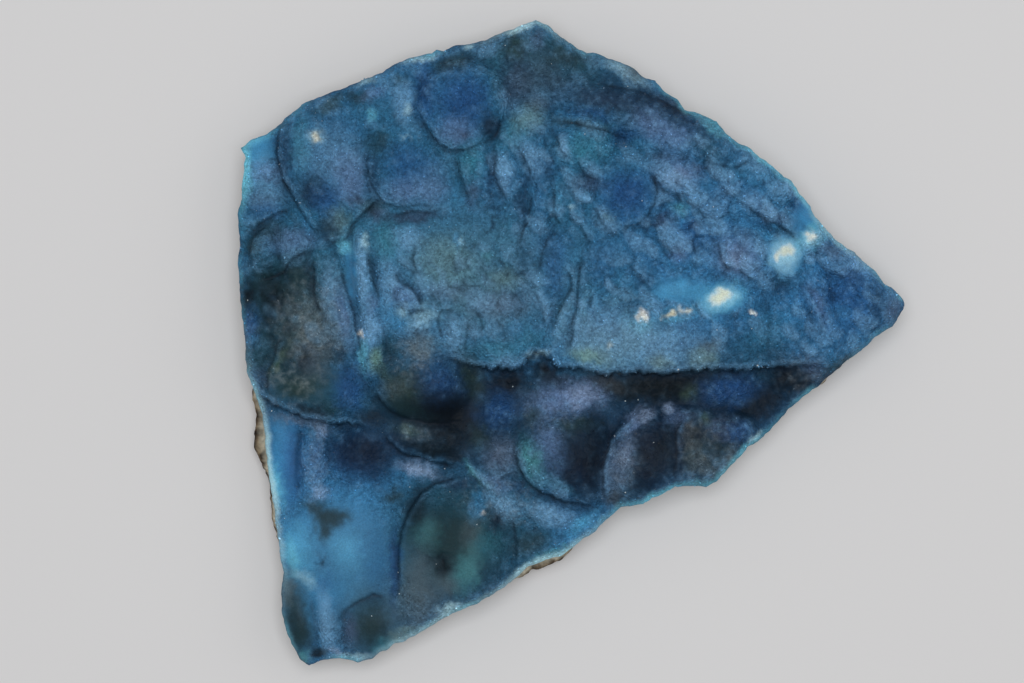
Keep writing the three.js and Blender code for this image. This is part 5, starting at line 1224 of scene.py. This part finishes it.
druse_tree = bpy.data.node_groups.new("druse_blades", "GeometryNodeTree")
sockets = druse_tree.interface
sockets.new_socket("Crust", in_out="INPUT", socket_type="NodeSocketGeometry")
for socket_name in ("Blade Width", "Blade Height", "Least Gap", "Most Blades", "Lean"):
    sockets.new_socket(socket_name, in_out="INPUT", socket_type="NodeSocketFloat")
sockets.new_socket("Finish", in_out="INPUT", socket_type="NodeSocketMaterial")
sockets.new_socket("Blades", in_out="OUTPUT", socket_type="NodeSocketGeometry")
given = add(druse_tree, "NodeGroupInput").outputs
frost_share = add(druse_tree, "GeometryNodeInputNamedAttribute", data_type="FLOAT", Name="blades")
places = add(druse_tree, "GeometryNodeDistributePointsOnFaces", {
    "Distance Min": given["Least Gap"], "Density Max": given["Most Blades"],
    "Density Factor": frost_share.outputs["Attribute"],
}, distribute_method="POISSON", Seed=7, Mesh=given["Crust"]).outputs
blade = add(druse_tree, "GeometryNodeMeshCone", {"Radius Top": 0.3, "Radius Bottom": 0.55},
            Vertices=4, Depth=1.0)
sunk = add(druse_tree, "GeometryNodeTransform", Geometry=blade.outputs["Mesh"], Translation=(0, 0, -0.45))
lean = add(druse_tree, "FunctionNodeRandomValue", data_type="FLOAT_VECTOR", Seed=3, Min=(-1, -1, -9),
           Max=(1, 1, 9)).outputs["Value"]
facing = add(druse_tree, "FunctionNodeRotateEuler", {"Rotate By": scaled(druse_tree, lean, given["Lean"])},
             rotation_type="EULER", space="LOCAL", Rotation=places["Rotation"]).outputs["Rotation"]
size = add(druse_tree, "FunctionNodeRandomValue", data_type="FLOAT", Seed=5)
size.inputs[2].default_value = 0.55
size.inputs[3].default_value = 1.3
thin = product(druse_tree, given["Blade Width"], 0.55)
shape = add(druse_tree, "ShaderNodeCombineXYZ", X=given["Blade Width"], Y=thin, Z=given["Blade Height"])
blades = add(druse_tree, "GeometryNodeInstanceOnPoints", Points=places["Points"],
             Instance=sunk.outputs["Geometry"], Rotation=facing,
             Scale=scaled(druse_tree, shape.outputs["Vector"], size.outputs[1])).outputs["Instances"]
# painted glints: a random share for each blade, by which a few are painted lighter in the blades' finish
glint = add(druse_tree, "FunctionNodeRandomValue", data_type="FLOAT", Seed=9).outputs[1]
lit = add(druse_tree, "GeometryNodeStoreNamedAttribute", data_type="FLOAT", domain="INSTANCE",
          Geometry=blades, Name="glint", Value=glint).outputs["Geometry"]
real = add(druse_tree, "GeometryNodeRealizeInstances", Geometry=lit).outputs["Geometry"]
painted = add(druse_tree, "GeometryNodeSetMaterial", Geometry=real, Material=given["Finish"])
add(druse_tree, "NodeGroupOutput", Blades=painted.outputs["Geometry"])


def blade_finish():
    """The crust's own tint, painted lighter on a few blades as glints, and dusty on the dark domes."""
    material, tree = new_finish("frost_blades")
    tint_node = add(tree, "ShaderNodeVertexColor", layer_name="tint").outputs["Color"]
    glint_node = kept(tree, "glint")
    # painted highlight: blades with a high glint share are up to 2.6 times lighter
    shade = scaled(tree, tint_node, stretched(tree, glint_node, 0.7, 1.0, 1.0, 2.6))
    dusty = add(tree, "ShaderNodeMix", data_type="RGBA")
    pale_share = product(tree, kept(tree, "dust"), stretched(tree, glint_node, 0.1, 0.9, 0.1, 0.9))
    give(tree, dusty.inputs["Factor"], pale_share)
    give(tree, dusty.inputs[6], shade)
    give(tree, dusty.inputs[7], DUST_COLOUR)
    surface(tree, dusty.outputs[2], 0.5, Roughness=0.25)
    return material


blade_material = blade_finish()
carrier = link_piece("druse_carrier", crust.data)
grow = carrier.modifiers.new("druse", "NODES")
grow.node_group = druse_tree
settings = {
    "Blade Width": BLADE_WIDTH * MM, "Blade Height": BLADE_HEIGHT * MM, "Least Gap": BLADE_GAP * MM,
    "Most Blades": BLADES_MOST, "Lean": BLADE_LEAN, "Finish": blade_material,
}
for item in sockets.items_tree:
    if item.item_type == "SOCKET" and item.name in settings:
        grow[item.identifier] = settings[item.name]
depsgraph = bpy.context.evaluated_depsgraph_get()
druse_mesh = bpy.data.meshes.new_from_object(carrier.evaluated_get(depsgraph), depsgraph=depsgraph)
druse_mesh.name = "druse_blades"
carrier.modifiers.remove(grow)
bpy.data.objects.remove(carrier)
druse = link_piece("druse_blades", druse_mesh)
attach(druse, "root")

# the grains that look white, partly painted glints, each a small double pyramid set in the crust
SPECK_SIZE = 0.30
SPECK_SINK = 0.1
GRAIN_CLOUD_SCALE = 900.0
speck_points, speck_faces = [], []
for number, (x, y) in enumerate(SPECKS):
    z = float(read_sheet(relief, x, y))
    turn = 1.7 * number
    half = SPECK_SIZE * (0.8 + 0.5 * math.sin(3.1 * number)) / 2
    first = len(speck_points)
    for k in range(4):
        angle = turn + k * math.pi / 2
        speck_points.append((x + half * math.cos(angle), y + half * math.sin(angle), z - SPECK_SINK))
    speck_points += [(x, y, z + 0.6 * half), (x, y, z - SPECK_SINK - half)]
    for k in range(4):
        a, b = first + k, first + (k + 1) % 4
        speck_faces += [(a, b, first + 4), (b, a, first + 5)]
speck_mesh = bpy.data.meshes.new("white_grains")
speck_mesh.from_pydata((np.array(speck_points) * MM).tolist(), [], speck_faces)
white_grain, grain_tree = new_finish("white_grain")
grain_colour = add(grain_tree, "ShaderNodeValToRGB", Fac=cloudy(grain_tree, GRAIN_CLOUD_SCALE))
grain_colour.color_ramp.elements[0].color = (0.45, 0.6, 0.68, 1)
grain_colour.color_ramp.elements[1].color = (0.9, 0.95, 0.95, 1)
surface(grain_tree, grain_colour.outputs["Color"], 0.5, Roughness=0.3)
speck_mesh.materials.append(white_grain)
specks = link_piece("white_grains", speck_mesh)
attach(specks, "root")


# The table and the light
# A plain pale sheet inside a light tent, with soft light from all round and a little more from above.
FLOOR_HALF = 1.5
FLOOR_TONE = (0.79, 0.785, 0.79, 1)
corners = [(x * FLOOR_HALF, y * FLOOR_HALF, 0) for x, y in ((-1, -1), (1, -1), (1, 1), (-1, 1))]
floor_mesh = bpy.data.meshes.new("floor")
floor_mesh.from_pydata(corners, [], [(0, 1, 2, 3)])
floor = link_piece("floor", floor_mesh)
floor_material, floor_tree = new_finish("pale_sheet")
surface(floor_tree, FLOOR_TONE, 0.1, Roughness=0.9)
floor_mesh.materials.append(floor_material)


def soft_light(name, place, size, watts):
    """A square of the tent that glows, turned to the stone."""
    lamp = bpy.data.lights.new(name, "AREA")
    lamp.shape = "SQUARE"
    lamp.size = size
    lamp.energy = watts
    lamp_object = link_piece(name, lamp)
    lamp_object.location = place
    lamp_object.rotation_euler = (-Vector(place)).to_track_quat("-Z", "Y").to_euler()


WORLD_LIGHT = 0.36
soft_light("tent_right", (0.55, 0.15, 0.45), 0.5, 0.3)
soft_light("tent_top", (-0.02, 0.06, 0.73), 0.45, 2.4)
world = bpy.data.worlds.new("tent")
world.use_nodes = True
glow = world.node_tree.nodes["Background"].inputs
glow["Color"].default_value = (1, 1, 1, 1)
glow["Strength"].default_value = WORLD_LIGHT
bpy.context.scene.world = world
bpy.context.scene.view_settings.view_transform = "Standard"

# The camera
# It looks straight down, with the plate in the middle of the frame and a little to its right.
SENSOR = 36.0
LENS = 105.0
VIEW_WIDTH = 0.1520
VIEW_MIDDLE = (-0.0088, 0.0003)
TOP_HEIGHT = 0.008
camera = bpy.data.cameras.new("camera")
camera.sensor_width = SENSOR
camera.lens = LENS
camera_object = link_piece("camera", camera)
camera_object.location = (*VIEW_MIDDLE, TOP_HEIGHT + VIEW_WIDTH * LENS / SENSOR)
bpy.context.scene.camera = camera_object
